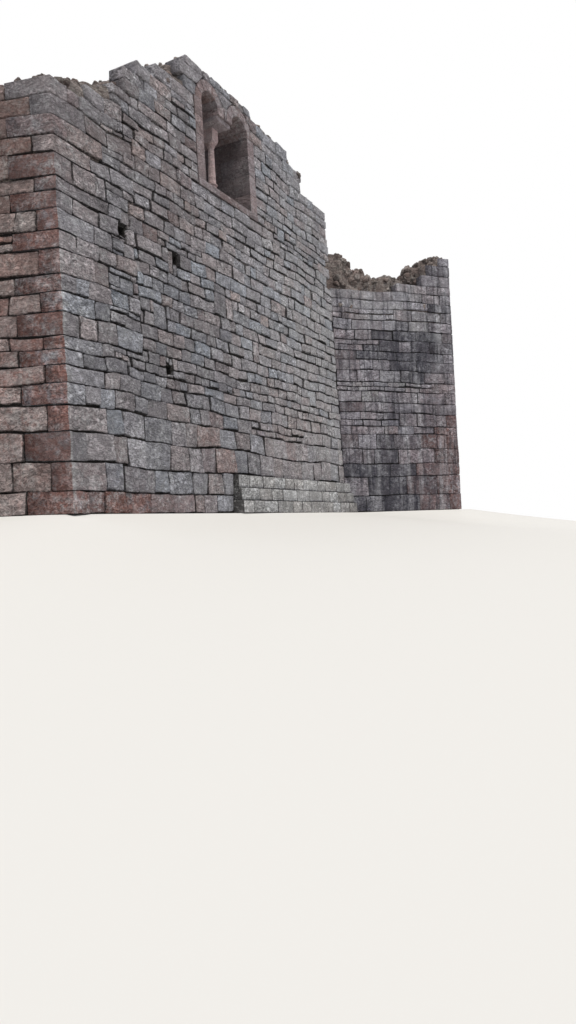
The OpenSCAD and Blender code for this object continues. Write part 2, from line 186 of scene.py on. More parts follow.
# Soft light of an overcast day. The sky itself is seen white, straight, in gloss and through glass.
def addLight(v):
    scene.world = bpy.data.worlds.new("overcast sky")
    add = partial(addNode, freshTree(scene.world))
    rays = add("ShaderNodeLightPath").node.outputs
    seen = rays["Is Camera Ray"]
    for ray in ("Is Glossy Ray", "Is Transmission Ray"):
        seen = add("ShaderNodeMath", (seen, rays[ray]), operation="MAXIMUM")
    sky = add("ShaderNodeBackground", (colour(v["sky"]), v["strength"]))
    white = add("ShaderNodeBackground", ((1, 1, 1, 1), 1.0))
    add("ShaderNodeOutputWorld", (add("ShaderNodeMixShader", (seen, sky, white)),))
    data = bpy.data.lights.new("soft sun", "SUN")
    data.energy, data.angle = v["sunStrength"], math.radians(v["sunAngle"])
    data.color = colour(v["sun"])[:3]
    sun = bpy.data.objects.new("soft sun", data)
    sun.rotation_euler = (math.radians(90 - v["sunHeight"]), 0, math.radians(v["sunTurn"]))
    scene.collection.objects.link(sun)
    print("overcast sky and soft sun")


addLight(light)
scene.view_settings.view_transform = "Standard"


def finishMesh(made, name):
    mesh = bpy.data.meshes.new(name)
    bmesh.ops.recalc_face_normals(made, faces=made.faces)
    made.to_mesh(mesh)
    made.free()
    return mesh


def placeObject(name, mesh):
    obj = bpy.data.objects.new(name, mesh)
    scene.collection.objects.link(obj)
    return obj


# Patches in the noise: their size in millimetres, where they start and end to show, the noise's own
# detail and roughness, and how they are stretched and shifted
plainPatches = dict(detail=6, rough=0.62, stretch=(1, 1, 1), shift=0, twist=0)
patterns = dict(
    blush=dict(size=250, low=0.30, high=0.50, rough=0.70, shift=4),
    bed=dict(size=111, low=0.30, high=0.70, detail=4, rough=0.60, stretch=(0.35, 0.35, 3.2), shift=3),
    lichen=dict(size=455, low=0.42, high=0.62, detail=8, rough=0.70, shift=11),
    lichenSpots=dict(size=77, low=0.42, high=0.58, detail=5, rough=0.70, shift=5),
    worn=dict(size=143, low=0.36, high=0.56, detail=7, rough=0.75, shift=8),
    crust=dict(size=1333, low=0.47, high=0.66, detail=8, rough=0.68, shift=21),
    run=dict(size=417, low=0.50, high=0.68, stretch=(1.5, 1.5, 0.14), shift=31),
    streak=dict(size=154, low=0.50, high=0.66, detail=5, rough=0.60, stretch=(1.6, 1.6, 0.16), shift=51),
    broad=dict(size=175, low=0.40, high=0.60, detail=5, rough=0.66, stretch=(0.75, 0.75, 1.25),
               twist=0.8),
    hollows=dict(size=75, low=0.36, high=0.60, rough=0.64, stretch=(0.7, 0.7, 1.3), shift=2, twist=1.8),
    grit=dict(size=17, low=0.30, high=0.70, detail=3, rough=0.60),
    ragged=dict(size=91, low=0.25, high=0.75, detail=5, rough=0.70, shift=14))


# Sandstone ashlar weathered in the open: quite dull, each stone of its own shade with gritty hollows and
# knobs, painted shade in the hollows and painted light on the knobs, and over them beds, lichen, crust
# and rain runs that cross the joints, and dirt with painted shade along the joints
def sandstone(name, v):
    material = bpy.data.materials.new(name)
    add = partial(addNode, freshTree(material))
    where = add("ShaderNodeTexCoord").node.outputs["Object"]
    tone, warm, rim, blush, pale, arris, endBlush = (
        add("ShaderNodeAttribute", attribute_name=key).node.outputs["Fac"]
        for key in ("tone", "warm", "rim", "blush", "pale", "arris", "endBlush"))
    # every stone has its own piece of the grain
    offset = add("ShaderNodeCombineXYZ", (tone, warm))
    own = add("ShaderNodeVectorMath", (offset, (v["ownGrain"],) * 3, where), operation="MULTIPLY_ADD")

    def patches(layer, at=where, coarse=1.0):
        p = {**plainPatches, **patterns[layer]}
        spot = add("ShaderNodeMapping", {
            "Vector": at, "Scale": p["stretch"],
            "Location": (p["shift"], p["shift"] * 0.7, p["shift"] * 1.3)})
        grain = add("ShaderNodeTexNoise", {
            "Vector": spot, "Scale": 1000 / (p["size"] * coarse), "Detail": p["detail"],
            "Roughness": p["rough"], "Distortion": p["twist"]})
        return add("ShaderNodeMapRange", (grain, p["low"], p["high"]))

    # a layer's colour where its patches, its share and an amount show it
    def layered(base, layer, amount=1.0):
        if layer in patterns:
            amount = add("ShaderNodeMath", (patches(layer), amount), operation="MULTIPLY", use_clamp=True)
        amount = add("ShaderNodeMath", (amount, v[f"{layer}Share"]), operation="MULTIPLY")
        return add("ShaderNodeMix", {0: amount, 6: base, 7: colour(v[layer])}, data_type="RGBA")

    # darker or lighter along a mask
    def shaded(base, mask, low, high, amount=1.0):
        shade = add("ShaderNodeMapRange", (mask, 0.0, 1.0, low, high))
        return add("ShaderNodeMix", {0: amount, 6: base, 7: shade}, data_type="RGBA",
                   blend_type="MULTIPLY")

    # each stone lies between the wall's cool, warm and deep colours, and may be red
    base = add("ShaderNodeMix", {0: warm, 6: colour(v["cool"]), 7: colour(v["warm"])}, data_type="RGBA")
    base = layered(base, "deep", add("ShaderNodeMapRange", (tone, 0.7, 1.0)))
    red = add("ShaderNodeMapRange", (endBlush, 0.75, 0.95))
    base = layered(base, "blush", add("ShaderNodeMath", (red, blush), operation="ADD"))
    base = shaded(base, tone, v["light"], v["dark"])
    # beds of the rock, pale lichen, bleached stones, dark crust, and rain runs down the face
    base = layered(base, "bed")
    base = layered(base, "lichen", patches("lichenSpots"))
    worn = add("ShaderNodeMapRange", (arris, 0.50, 0.96))
    base = layered(base, "worn", add("ShaderNodeMath", (pale, 1.6, worn), operation="MULTIPLY_ADD"))
    for layer in ("crust", "run", "streak"):
        base = layered(base, layer)
    # hollows and knobs of the weathered face, wider than they are high, and more of them on some stones:
    # painted shade in the hollows, painted light on the knobs, over the stone's own broad mottling
    hollows, grit = patches("hollows", own, v["coarse"]), patches("grit")
    broad = patches("broad", own, v["coarse"])
    rough = shaded(base, broad, 0.5 + 0.5 * v["hollow"], 0.5 + 0.5 * v["knobLightAndMottle"])
    rough = shaded(rough, hollows, v["hollow"], v["knobLightAndMottle"])
    share = add("ShaderNodeMath", (tone, 17.0), operation="MULTIPLY")
    share = add("ShaderNodeMath", (share,), operation="FRACT")
    share = add("ShaderNodeMapRange", (share, 0.0, 1.0, v["leastRough"], 1.0))
    base = add("ShaderNodeMix", {0: share, 6: base, 7: rough}, data_type="RGBA")
    base = shaded(base, grit, 0.75, 1.25, 0.5)
    # every stone is dark and ragged along its joints, with dirt and painted shade of the joints
    edge = add("ShaderNodeMath", (rim, 0.35), operation="SUBTRACT")
    edge = add("ShaderNodeMath", (patches("ragged"), 0.7, edge), operation="MULTIPLY_ADD")
    base = layered(base, "joint", add("ShaderNodeMapRange", (edge, 0.5, 0.9)))
    height = add("ShaderNodeMath", (grit, 0.35), operation="MULTIPLY")
    height = add("ShaderNodeMath", (hollows, 0.8, height), operation="MULTIPLY_ADD")
    bump = add("ShaderNodeBump", {"Height": height, "Strength": 1.0, "Distance": v["bump"]})
    dull = add("ShaderNodeMapRange", (grit, 0.0, 1.0, 0.98, 0.8))
    shader = add("ShaderNodeBsdfPrincipled", {"Base Color": base, "Normal": bump, "Roughness": dull,
                                              "Specular IOR Level": 0.2})
    add("ShaderNodeOutputMaterial", (shader,))
    return material


# What all sandstone here shares, and below it each kind's own: light to dark, painted shade of the
# hollows to painted light of the knobs, colours with their shares (the joint colour is dirt and painted
# shade along the joints), and the height of the bumps in metres
weathered = dict(light=1.14, dark=0.84, hollow=0.42, knobLightAndMottle=1.55, coarse=1.0, leastRough=0.55,
                 ownGrain=91.0, deepShare=0.45, blush="#95695f", blushShare=1.0, bedShare=0.22,
                 lichenShare=0.6, worn="#cdcdce", wornShare=0.75, crustShare=0.3, runShare=0.2,
                 streak="#55545a", streakShare=0.12, joint="#262323", jointShare=0.85, bump=0.06)
stoneLooks = dict(
    # red sandstone gone cool grey in the open
    grey=dict(cool="#aab0bb", warm="#b9a7a4", deep="#8c868a", bed="#9a9698", lichen="#d3d4d6",
              crust="#706f74", run="#858284"),
    # the same stone on the sheltered side, still red
    red=dict(cool="#a89d9b", warm="#a07f76", deep="#7e645f", bed="#8a716b", lichen="#c0bcb9",
             crust="#645a58", run="#756865", blush="#96645a", bedShare=0.4),
    # the tower's, under black crust with pale runs
    purple=dict(cool="#a09ea8", warm="#9c8e90", deep="#4f4f59", bed="#7e767c", lichen="#cfcfd6",
                crust="#3c3e4a", crustShare=0.52, run="#d3d3d8", runShare=0.5, joint="#252326",
                jointShare=0.8, deepShare=0.9, hollow=0.46, knobLightAndMottle=1.5, streak="#34353f",
                streakShare=0.65, blush="#856662"),
    # bleached blocks of the plinth
    pale=dict(cool="#d3d4d6", warm="#c8c4c2", deep="#9f9b98", bed="#b4b1af", lichen="#e6e6e6",
              crust="#86858a", run="#a09e9e"),
    # tooled stone of the windows and the doorway, smoother and darker, its reveals with painted shade of
    # the joints
    dressed=dict(cool="#9c9194", warm="#8d7774", deep="#6f5f5e", bed="#7d6d6b", lichen="#b4b2b3",
                 crust="#534a4d", run="#6a6062", bump=0.025, hollow=0.55, knobLightAndMottle=1.35, jointShare=0.6),
    # turned stone of the colonnettes, pink and rubbed
    column=dict(cool="#b8a2a1", warm="#a98679", deep="#8a6e68", bed="#8f7873", lichen="#c6c0bf",
                crust="#6b5c5b", run="#7c6d6b", bump=0.02, hollow=0.6, knobLightAndMottle=1.3, jointShare=0.5),
    # old lime mortar deep in the open joints, near black with painted shade of the joints, and fresher in
    # the tower's tight ones
    mortar=dict(cool="#2f2b2a", warm="#2f2b2a", deep="#262322", bed="#2b2827", lichen="#58554f",
                crust="#1f1d1d", run="#262423", lichenShare=0.8),
    pointing=dict(cool="#4c4849", warm="#4c4849", deep="#383536", bed="#434041", lichen="#74726f",
                  crust="#2d2b2f", run="#3e3b42"),
    # broken core of the walls, earthy and coarse
    rubble=dict(cool="#958c88", warm="#907d76", deep="#665a55", bed="#7c706a", lichen="#b7b4ac",
                crust="#54504e", run="#69645f", joint="#292625", jointShare=1.0, light=1.16,
                dark=0.72, bump=0.05, coarse=1.36, ownGrain=0.0))
looks = {}
for look, values in stoneLooks.items():
    kind = look if look in ("mortar", "pointing", "rubble") else f"{look} sandstone"
    looks[look] = sandstone(kind, {**weathered, **values})

oak = dict(new="#7f6a50", grey="#8a847a", dark="#43382c", grainSize=111, dirtSize=625)


# Old sawn oak: dull, its long dark grain shows through the grey that rain gave it
def oakMaterial(name, v, stretch):
    material = bpy.data.materials.new(name)
    add = partial(addNode, freshTree(material))
    where = add("ShaderNodeTexCoord").node.outputs["Object"]
    tone = add("ShaderNodeAttribute", attribute_name="tone").node.outputs["Fac"]
    spot = add("ShaderNodeMapping", {"Vector": where, "Scale": stretch})
    grain = add("ShaderNodeTexNoise", {"Vector": spot, "Scale": 1000 / v["grainSize"], "Detail": 9.0,
                                       "Roughness": 0.7, "Distortion": 0.6})
    dirt = add("ShaderNodeTexNoise", {"Vector": where, "Scale": 1000 / v["dirtSize"], "Detail": 6.0})
    new = add("ShaderNodeMapRange", (grain, 0.32, 0.68))
    washed = add("ShaderNodeMapRange", (dirt, 0.35, 0.7, 0.0, 0.85))
    shade = add("ShaderNodeMapRange", (tone, 0.0, 1.0, 0.6, 1.2))
    base = colour(v["dark"])
    for amount, over, blend in ((new, colour(v["new"]), "MIX"), (washed, colour(v["grey"]), "MIX"),
                                (1.0, shade, "MULTIPLY")):
        base = add("ShaderNodeMix", {0: amount, 6: base, 7: over}, data_type="RGBA", blend_type=blend)
    bump = add("ShaderNodeBump", {"Height": grain, "Strength": 0.6, "Distance": 0.004})
    shader = add("ShaderNodeBsdfPrincipled", {"Base Color": base, "Roughness": 0.85, "Normal": bump})
    add("ShaderNodeOutputMaterial", (shader,))
    return material


looks["boards"] = oakMaterial("old oak boards", oak, (0.5, 7, 7))  # across and along the boards' grain
looks["beams"] = oakMaterial("old oak beams", oak, (7, 0.5, 7))
print("materials:", ", ".join(looks))


# One stone as a lattice: each point keeps its place on the core box and its way out to the rounded rim
def unitStone(name, steps, inside, closedBack):
    low = [(-1, -b) for b in steps] + [(-1, 0)]
    high = [(1, 0)] + [(1, b) for b in reversed(steps)]
    axis = low + [(f, 0) for f in inside] + high
    deep = low + (high if closedBack else high[:1])
    made = bmesh.new()
    inner, bulge, edge = (made.verts.layers.float_vector.new(key) for key in ("inner", "bulge", "edge"))
    last = (len(axis) - 1, len(deep) - 1, len(axis) - 1)
    grid = {}
    for i, x in enumerate(axis):
        for j, y in enumerate(deep):
            for k, z in enumerate(axis):
                if i in (0, last[0]) or j in (0, last[1]) or k in (0, last[2]):
                    out = Vector((x[1], y[1], z[1]))
                    vert = made.verts.new((x[0], y[0], z[0]))
                    vert[inner], vert[edge] = vert.co, out
                    vert[bulge] = out.normalized() if out.length > 1 else out
                    grid[i, j, k] = vert

    def patch(fixed, at, a, b):
        for p in range(last[a]):
            for q in range(last[b]):
                corners = []
                for u, v in ((p, q), (p + 1, q), (p + 1, q + 1), (p, q + 1)):
                    key = [0, 0, 0]
                    key[fixed], key[a], key[b] = at, u, v
                    corners.append(grid[tuple(key)])
                made.faces.new(corners)

    patch(1, 0, 0, 2)
    for at in (0, last[0]):
        patch(0, at, 1, 2)
    for at in (0, last[2]):
        patch(2, at, 0, 1)
    if closedBack:
        patch(1, last[1], 0, 2)
    else:
        # an open back that the mortar hides is one face
        n, j = last[0], last[1]
        ring = [(i, j, 0) for i in range(n)] + [(n, j, k) for k in range(n)]
        ring += [(i, j, n) for i in range(n, 0, -1)] + [(0, j, k) for k in range(n, 0, -1)]
        for i in range(1, n):
            for k in range(1, n):
                made.verts.remove(grid.pop((i, j, k)))
        made.faces.new([grid[key] for key in ring])
    return bpy.data.objects.new(name, finishMesh(made, name))


units = dict(near=unitStone("near stone", [1, 0.55], [-0.35, 0.35], False),
             plain=unitStone("plain stone", [1], [-0.3, 0.3], False),
             inner=unitStone("inner stone", [1], [], False),
             block=unitStone("block", [1], [], True))


# Tree that takes and gives geometry, with further inputs by name and kind, and what it is given
def newTree(name, **inputs):
    tree = bpy.data.node_groups.new(name, "GeometryNodeTree")
    for key, kind in {"Geometry": "Geometry", **inputs}.items():
        tree.interface.new_socket(key, in_out="INPUT", socket_type=f"NodeSocket{kind}")
    tree.interface.new_socket("Geometry", in_out="OUTPUT", socket_type="NodeSocketGeometry")
    return tree, addNode(tree, "NodeGroupInput").node.outputs


# Tree that lays one stone at each point, sized, skewed and tipped by the point's own values
def laidStonesTree():
    tree, given = newTree("laid stones", Stone="Object", Unevenness="Float", Grain="Float",
                          Material="Material")
    add = partial(addNode, tree)
    stone = add("GeometryNodeObjectInfo", {"Object": given["Stone"]}).node.outputs["Geometry"]
    laid = add("GeometryNodeInstanceOnPoints", {"Points": given["Geometry"], "Instance": stone})
    solid = add("GeometryNodeRealizeInstances", (laid,))
    home, size, skew, slant, tilt, inner, bulge, edge = (
        add("GeometryNodeInputNamedAttribute", (key,), data_type="FLOAT_VECTOR")
        for key in ("home", "size", "skew", "slant", "tilt", "inner", "bulge", "edge"))
    soft, tone, quoin, bare, endBlush, arris = (
        add("GeometryNodeInputNamedAttribute", (key,), data_type="FLOAT")
        for key in ("soft", "tone", "quoin", "bare", "endBlush", "arris"))
    # the core box with the rim rounded out from it
    half = add("ShaderNodeVectorMath", (size, (0.5, 0.5, 0.5)), operation="MULTIPLY")
    box = add("ShaderNodeVectorMath", (half, soft), operation="SUBTRACT")
    rounding = add("ShaderNodeVectorMath", (bulge, soft), operation="MULTIPLY")
    core = add("ShaderNodeVectorMath", (inner, box, rounding), operation="MULTIPLY_ADD")
    at = add("ShaderNodeSeparateXYZ", (core,)).node.outputs
    # skew and slant shift a stone's two ends as they go deeper or higher, tilt tips its face
    end = add("ShaderNodeSeparateXYZ", (inner,))
    before = add("ShaderNodeMath", (end, -1.0), operation="MULTIPLY")
    before = add("ShaderNodeMath", (before, 0.0), operation="MAXIMUM")
    after = add("ShaderNodeMath", (end, 0.0), operation="MAXIMUM")
    ends = add("ShaderNodeCombineXYZ", (before, after))
    deeper = add("ShaderNodeVectorMath", (core, half), operation="ADD")
    deeper = add("ShaderNodeSeparateXYZ", (deeper,)).node.outputs["Y"]
    shift = 0.0
    for pull, along in ((skew, deeper), (slant, at["Z"])):
        amount = add("ShaderNodeVectorMath", (pull, ends), operation="DOT_PRODUCT")
        shift = add("ShaderNodeMath", (along, amount, shift), operation="MULTIPLY_ADD")
    arm = add("ShaderNodeCombineXYZ", (at["X"], at["X"], at["Z"]))
    tip = add("ShaderNodeVectorMath", (tilt, arm), operation="MULTIPLY")
    tip = add("ShaderNodeSeparateXYZ", (tip,)).node.outputs
    out = add("ShaderNodeMath", (tip["X"], tip["Z"]), operation="ADD")
    moved = add("ShaderNodeCombineXYZ", (shift, out, tip["Y"]))
    place = add("ShaderNodeVectorMath", (home, core), operation="ADD")
    place = add("ShaderNodeVectorMath", (place, moved), operation="ADD")
    # the worn face is uneven, less so in its depth
    spot = add("ShaderNodeVectorMath", (tone, (91.0, 0.0, 0.0), place), operation="MULTIPLY_ADD")
    rough = add("ShaderNodeTexNoise", {"Vector": spot, "Scale": given["Grain"], "Detail": 2.0,
                                       "Roughness": 0.6}).node.outputs["Color"]
    shake = add("ShaderNodeVectorMath", (rough, (0.5, 0.5, 0.5)), operation="SUBTRACT")
    reach = add("ShaderNodeVectorMath", (given["Unevenness"], (1.0, 0.6, 1.0)), operation="MULTIPLY")
    there = add("ShaderNodeVectorMath", (shake, reach, place), operation="MULTIPLY_ADD")
    last = add("GeometryNodeSetPosition", {"Geometry": solid, "Position": there})
    last = add("GeometryNodeSetShadeSmooth", (last,))
    # a quoin's end is stained by its own side, its face bleached along the arris; other rims carry dirt
    # and painted shade of the joints
    outer = add("ShaderNodeVectorMath", (edge, (-1.0, -1.0, -1.0)), operation="MULTIPLY")
    outer = add("ShaderNodeVectorMath", (outer, (0.0, 0.0, 0.0)), operation="MAXIMUM")
    outer = add("ShaderNodeSeparateXYZ", (outer,)).node.outputs
    beside = add("ShaderNodeSeparateXYZ", (edge,)).node.outputs
    corner = add("ShaderNodeMath", (end, -0.99), operation="LESS_THAN")
    front = add("ShaderNodeMath", (corner, outer["Y"]), operation="MULTIPLY")
    free = add("ShaderNodeMath", (1.0, quoin), operation="SUBTRACT")
    far = add("ShaderNodeMath", (beside["X"], 0.0), operation="MAXIMUM")
    side = add("ShaderNodeMath", (outer["X"], free, far), operation="MULTIPLY_ADD")
    flat = add("ShaderNodeCombineXYZ", {0: side, 1: beside["Z"]})
    rim = add("ShaderNodeVectorMath", (flat,), operation="LENGTH")
    rim = add("ShaderNodeMath", (rim, 1.0), operation="MINIMUM")
    clean = add("ShaderNodeMath", (bare, -0.7, 1.0), operation="MULTIPLY_ADD")
    for key, one, two in (("endBlush", endBlush, outer["X"]), ("arris", arris, front),
                          ("rim", rim, clean)):
        amount = add("ShaderNodeMath", (one, two), operation="MULTIPLY")
        last = add("GeometryNodeStoreNamedAttribute", {"Geometry": last, "Name": key, "Value": amount},
                   data_type="FLOAT", domain="POINT")
    last = add("GeometryNodeSetMaterial", {"Geometry": last, "Material": given["Material"]})
    add("NodeGroupOutput", (last,))
    return tree


stonesTree = laidStonesTree()


# Turns what an object's modifiers make of it into its own plain mesh
def applied(obj):
    deps = bpy.context.evaluated_depsgraph_get()
    mesh = bpy.data.meshes.new_from_object(obj.evaluated_get(deps))
    mesh.name = obj.name
    obj.modifiers.clear()
    spent = obj.data
    obj.data = mesh
    bpy.data.meshes.remove(spent)
    return obj


# Puts a tree on an object with its named inputs set
def runTree(obj, tree, values):
    mod = obj.modifiers.new(tree.name, "NODES")
    mod.node_group = tree
    for item in tree.interface.items_tree:
        if item.in_out == "INPUT" and item.name in values:
            mod[item.identifier] = values[item.name]
    return applied(obj)


# What a stone may have besides its low and high corners in the face's frame: the last three vectors of
# the first row, and the numbers of the second. The third is for the tree alone.
stoneVectors = ("home", "size", "skew", "slant", "tilt")
stoneNumbers = ("soft", "tone", "warm", "blush", "pale", "bare", "endBlush", "arris", "quoin")
treeValues = stoneVectors + ("inner", "bulge", "edge", "soft", "bare", "quoin")


# Lays stones of one unit and look, and brings them from the face's frame to the keep's
def layStones(name, stones, matrix, unit, look, v):
    points = bpy.data.meshes.new(name)
    for s in stones:
        s["home"] = (Vector(s["low"]) + Vector(s["high"])) / 2
        s["size"] = Vector(s["high"]) - Vector(s["low"])
    points.from_pydata([s["home"] for s in stones], [], [])
    for key in stoneVectors:
        layer = points.attributes.new(key, "FLOAT_VECTOR", "POINT")
        layer.data.foreach_set("vector", [c for s in stones for c in s.get(key, (0, 0, 0))])
    for key in stoneNumbers:
        layer = points.attributes.new(key, "FLOAT", "POINT")
        layer.data.foreach_set("value", [s.get(key, 0.0) for s in stones])
    obj = runTree(placeObject(name, points), stonesTree, {
        "Stone": units[unit], "Unevenness": v["uneven"], "Grain": v["grain"], "Material": looks[look]})
    for key in treeValues:
        layer = obj.data.attributes.get(key)
        if layer:
            obj.data.attributes.remove(layer)
    obj.data.transform(matrix)
    print(name, len(stones), "stones,", sum(len(p.vertices) - 2 for p in obj.data.polygons), "triangles")
    return obj


# Courses of the main block, as measured at the near corner, and of the tower; above them they go on by
# rule. The field beside the quoins has its own, lower ones.
courses = dict(
    block=[0, 0.37, 0.84, 1.30, 1.70, 2.01, 2.29, 2.55, 2.76, 3.13, 3.44, 3.73, 4.12, 4.40, 4.72, 5.00,
           5.23, 5.61, 5.88, 6.22, 6.54],
    tower=[0, 0.46, 0.98, 1.34, 1.75, 2.14, 2.36, 2.72, 3.0, 3.32, 3.58, 3.9, 4.2, 4.46, 4.78, 5.06],
    field=[0, 0.37, 0.80, 1.28, 1.70, 2.01, 2.29], rise=(0.23, 0.33), fieldRise=(0.17, 0.27), top=9.6)


# Beds of a face: the known ones first, then random ones that meet the levels given
def courseLines(known, rng, low=0.0, rise=courses["rise"], levels=()):
    lines = [z for z in known if z >= low] or [low]
    while lines[-1] < courses["top"]:
        ahead = [z - lines[-1] for z in levels if 0.1 < z - lines[-1] < 2 * rise[1]]
        if ahead:
            count = max(1, round(2 * ahead[0] / sum(rise)))
            lines += [lines[-1] + ahead[0] * (k + 1) / count for k in range(count)]
        else:
            lines.append(lines[-1] + rng.uniform(*rise))
    return lines


# Cuts a rectangle (s0, s1, z0, z1) away from a list of rectangles and drops what is left too small
def cutAway(rects, hole, least=0.05):
    left = []
    h0, h1, h2, h3 = hole
    for a, b, c, d in rects:
        if b <= h0 or a >= h1 or d <= h2 or c >= h3:
            left.append((a, b, c, d))
            continue
        x0, x1 = max(a, h0), min(b, h1)
        parts = [(a, h0, c, d), (h1, b, c, d), (x0, x1, c, h2), (x0, x1, h3, d)]
        left += [p for p in parts if p[1] - p[0] > least and p[3] - p[2] > least]
    return left


# Runs of a course between openings: start, end, and how fast each of the two shifts as it goes up
def openRuns(a, b, z0, z1, holes, arches, play=0.03, least=0.04):
    gaps = [(h0, h1, 0.0) for h0, h1, low, high in holes if low < z0 + play and high > z1 - play]
    for (x, z), radius in arches:
        low, middle = max(0.0, z0 - z), max(0.0, (z0 + z1) / 2 - z)
        if z1 > z + play and low < radius - 0.02:
            half = math.sqrt(max(0.0, radius ** 2 - middle ** 2))
            slope = min(1.2, middle / max(half, 0.05))  # the stones beside an arch are cut on the slant
            half = max(half, math.sqrt(radius ** 2 - low ** 2) - slope * (z1 - z0) / 2)
            gaps.append((x - half, x + half, slope))
    runs = [(a, b, 0.0, 0.0)]
    for h0, h1, slope in gaps:
        left = []
        for x0, x1, s0, s1 in runs:
            if h0 >= x1 or h1 <= x0:
                left.append((x0, x1, s0, s1))
                continue
            left += [r for r in ((x0, h0, s0, slope), (h1, x1, -slope, s1)) if r[1] - r[0] > least]
        runs = left
    return sorted(runs)


# What all faces share, in metres
facing = dict(
    # how deep the stones are, how they end on the broken top, and what has to carry them there
    depth=0.13, topDepth=0.36, topBand=0.45, leastOut=0.034, overTop=(-0.04, 0.12),
    crestDepths=(0.33, 0.8), crestOffEnd=0.12, overCrest=dict(towerLeft=0.42), borneBelowTop=0.8,
    leastBorne=0.5, bedPlay=0.03, archPlay=0.12,
    # quoins, and where the stones beside them give way to the field's lower courses
    shortQuoin=0.36, longQuoin=0.78, quoinStray=(0.88, 1.12), quoinSoft=0.6, besideQuoins=1.45,
    besideStray=0.42, besideTurns=9.1,
    # joints of a bed, how far they stay off those below, and how open some beds are
    stretch=(0.8, 2.6), leastStretch=0.7, leastCourse=0.12, lengthBase=0.4, lengthRise=2.0,
    roomForTwo=1.5, leastEnd=0.7, offJoint=0.07, moveJoint=0.11, openShare=(0.3, 1.0),
    # courses in two thin beds, and stones that fill two courses
    wholeBelow=1.3, splitOver=0.26, splitAt=(0.42, 0.58), tallWidth=0.5, tallBelowTop=0.4,
    tallOffArch=0.7,
    # joints with fainter dirt and painted shade, warm and red stones, and how far stains stray from stone
    # to stone
    clean=0.5, warm=(0.4, 0.22), redStone=0.05, redness=0.35, stainStray=(0.5, 1.4))
# Ways of laying: lengths in a course of 0.3 m, half joints, worn edges, and how far stones stray
styles = dict(
    rough=dict(lengths=(0.28, 0.62), side=(-0.001, 0.004), bed=(0.0, 0.009), soft=(0.016, 0.038),
               slant=0.16, split=0.09, jumper=0.03, pushOut=0.016, sunk=0.12, sink=0.012, open=0.32,
               gap=0.030, tip=0.05, roll=0.03, uneven=0.075, grain=7.0),
    even=dict(lengths=(0.36, 0.80), side=(-0.001, 0.002), bed=(0.001, 0.007), soft=(0.012, 0.028),
              slant=0.02, split=0.08, jumper=0.01, pushOut=0.014, sunk=0.10, sink=0.012, open=0.30,
              gap=0.024, tip=0.045, roll=0.008, uneven=0.040, grain=6.0),
    inside=dict(lengths=(0.42, 0.80), side=(0.0, 0.003), bed=(0.0, 0.005), soft=(0.014, 0.026),
                slant=0.03, split=0.06, jumper=0.0, pushOut=0.010, sunk=0.0, sink=0.0, open=0.05,
                gap=0.01, tip=0.014, roll=0.006, uneven=0.024, grain=4.5))
styles["long"] = {**styles["rough"], "lengths": (0.42, 0.88)}

# What a face shows beyond its own colours: middle along and up, reach each way, what stones there gain
stains = dict(
    front=[dict(at=(2.2, 6.4), reach=(3.8, 2.2), tone=0.55, warm=0.45),
           dict(at=(2.6, 2.8), reach=(4.6, 3.4), tone=0.45),
           dict(at=(7.6, 1.9), reach=(2.4, 1.4), warm=0.30, blush=0.35),
           dict(at=(10.0, 4.0), reach=(5.5, 6.5), tone=-1.2, pale=0.9),
           dict(at=(10.3, 7.6), reach=(0.7, 1.8), bare=3.0),
           dict(at=(0.1, 2.0), reach=(2.6, 4.2), endBlush=2.6, arris=1.5),
           dict(at=(0.1, 5.4), reach=(0.9, 1.6), endBlush=0.6, blush=0.2),
           dict(at=(0.2, 0.1), reach=(3.8, 0.6), blush=1.4)],
    left=[dict(at=(8.3, 1.7), reach=(2.2, 3.0), blush=1.1, tone=-0.3),
          dict(at=(7.4, 1.5), reach=(1.0, 2.6), pale=0.4),
          dict(at=(7.8, 6.4), reach=(3.0, 1.8), tone=0.9),
          dict(at=(7.6, 3.2), reach=(1.4, 0.8), tone=0.3)],
    towerLeft=[dict(at=(3.3, 0.9), reach=(1.5, 2.6), blush=1.3, tone=-0.2),
               dict(at=(0.7, 3.2), reach=(0.5, 0.5), pale=1.3),
               dict(at=(2.9, 5.2), reach=(0.9, 0.5), pale=0.8, tone=-0.3),
               dict(at=(1.9, 3.6), reach=(0.6, 0.5), pale=0.7),
               dict(at=(1.6, 0.9), reach=(1.8, 1.3), tone=1.5),
               dict(at=(1.8, 4.6), reach=(2.0, 1.2), tone=0.7),
               dict(at=(1.2, 6.0), reach=(2.2, 1.2), tone=-0.9, pale=0.6),
               dict(at=(3.2, 6.6), reach=(0.9, 0.9), tone=0.6),
               dict(at=(0.4, 4.4), reach=(0.8, 1.6), tone=-0.4, warm=0.4)],
    towerEnd=[dict(at=(0.2, 1.2), reach=(2.0, 3.0), blush=0.6, endBlush=2.0)])


# Adds what the marks give a stone at a place of the face
def stained(stone, s, z, marks, rng, v):
    for mark in marks:
        away = math.hypot((s - mark["at"][0]) / mark["reach"][0], (z - mark["at"][1]) / mark["reach"][1])
        share = max(0.0, 1 - away) * rng.uniform(*v["stainStray"])
        for key in mark:
            if key not in ("at", "reach"):
                stone[key] = stone.get(key, 0.0) + mark[key] * share
    for key in ("tone", "warm", "blush", "pale", "bare", "endBlush", "arris"):
        stone[key] = clamped(stone.get(key, 0.0))


# Vertical joints from a to b that stay off those of the bed below
def jointsBetween(a, b, lengths, below, rng, v):
    edges = [a]
    while b - edges[-1] > v["roomForTwo"] * lengths[0]:
        place = edges[-1] + rng.uniform(*lengths)
        if any(abs(place - e) < v["offJoint"] for e in below):
            place += v["moveJoint"]
        if b - place < v["leastEnd"] * lengths[0]:
            break
        edges.append(place)
    return edges + [b]


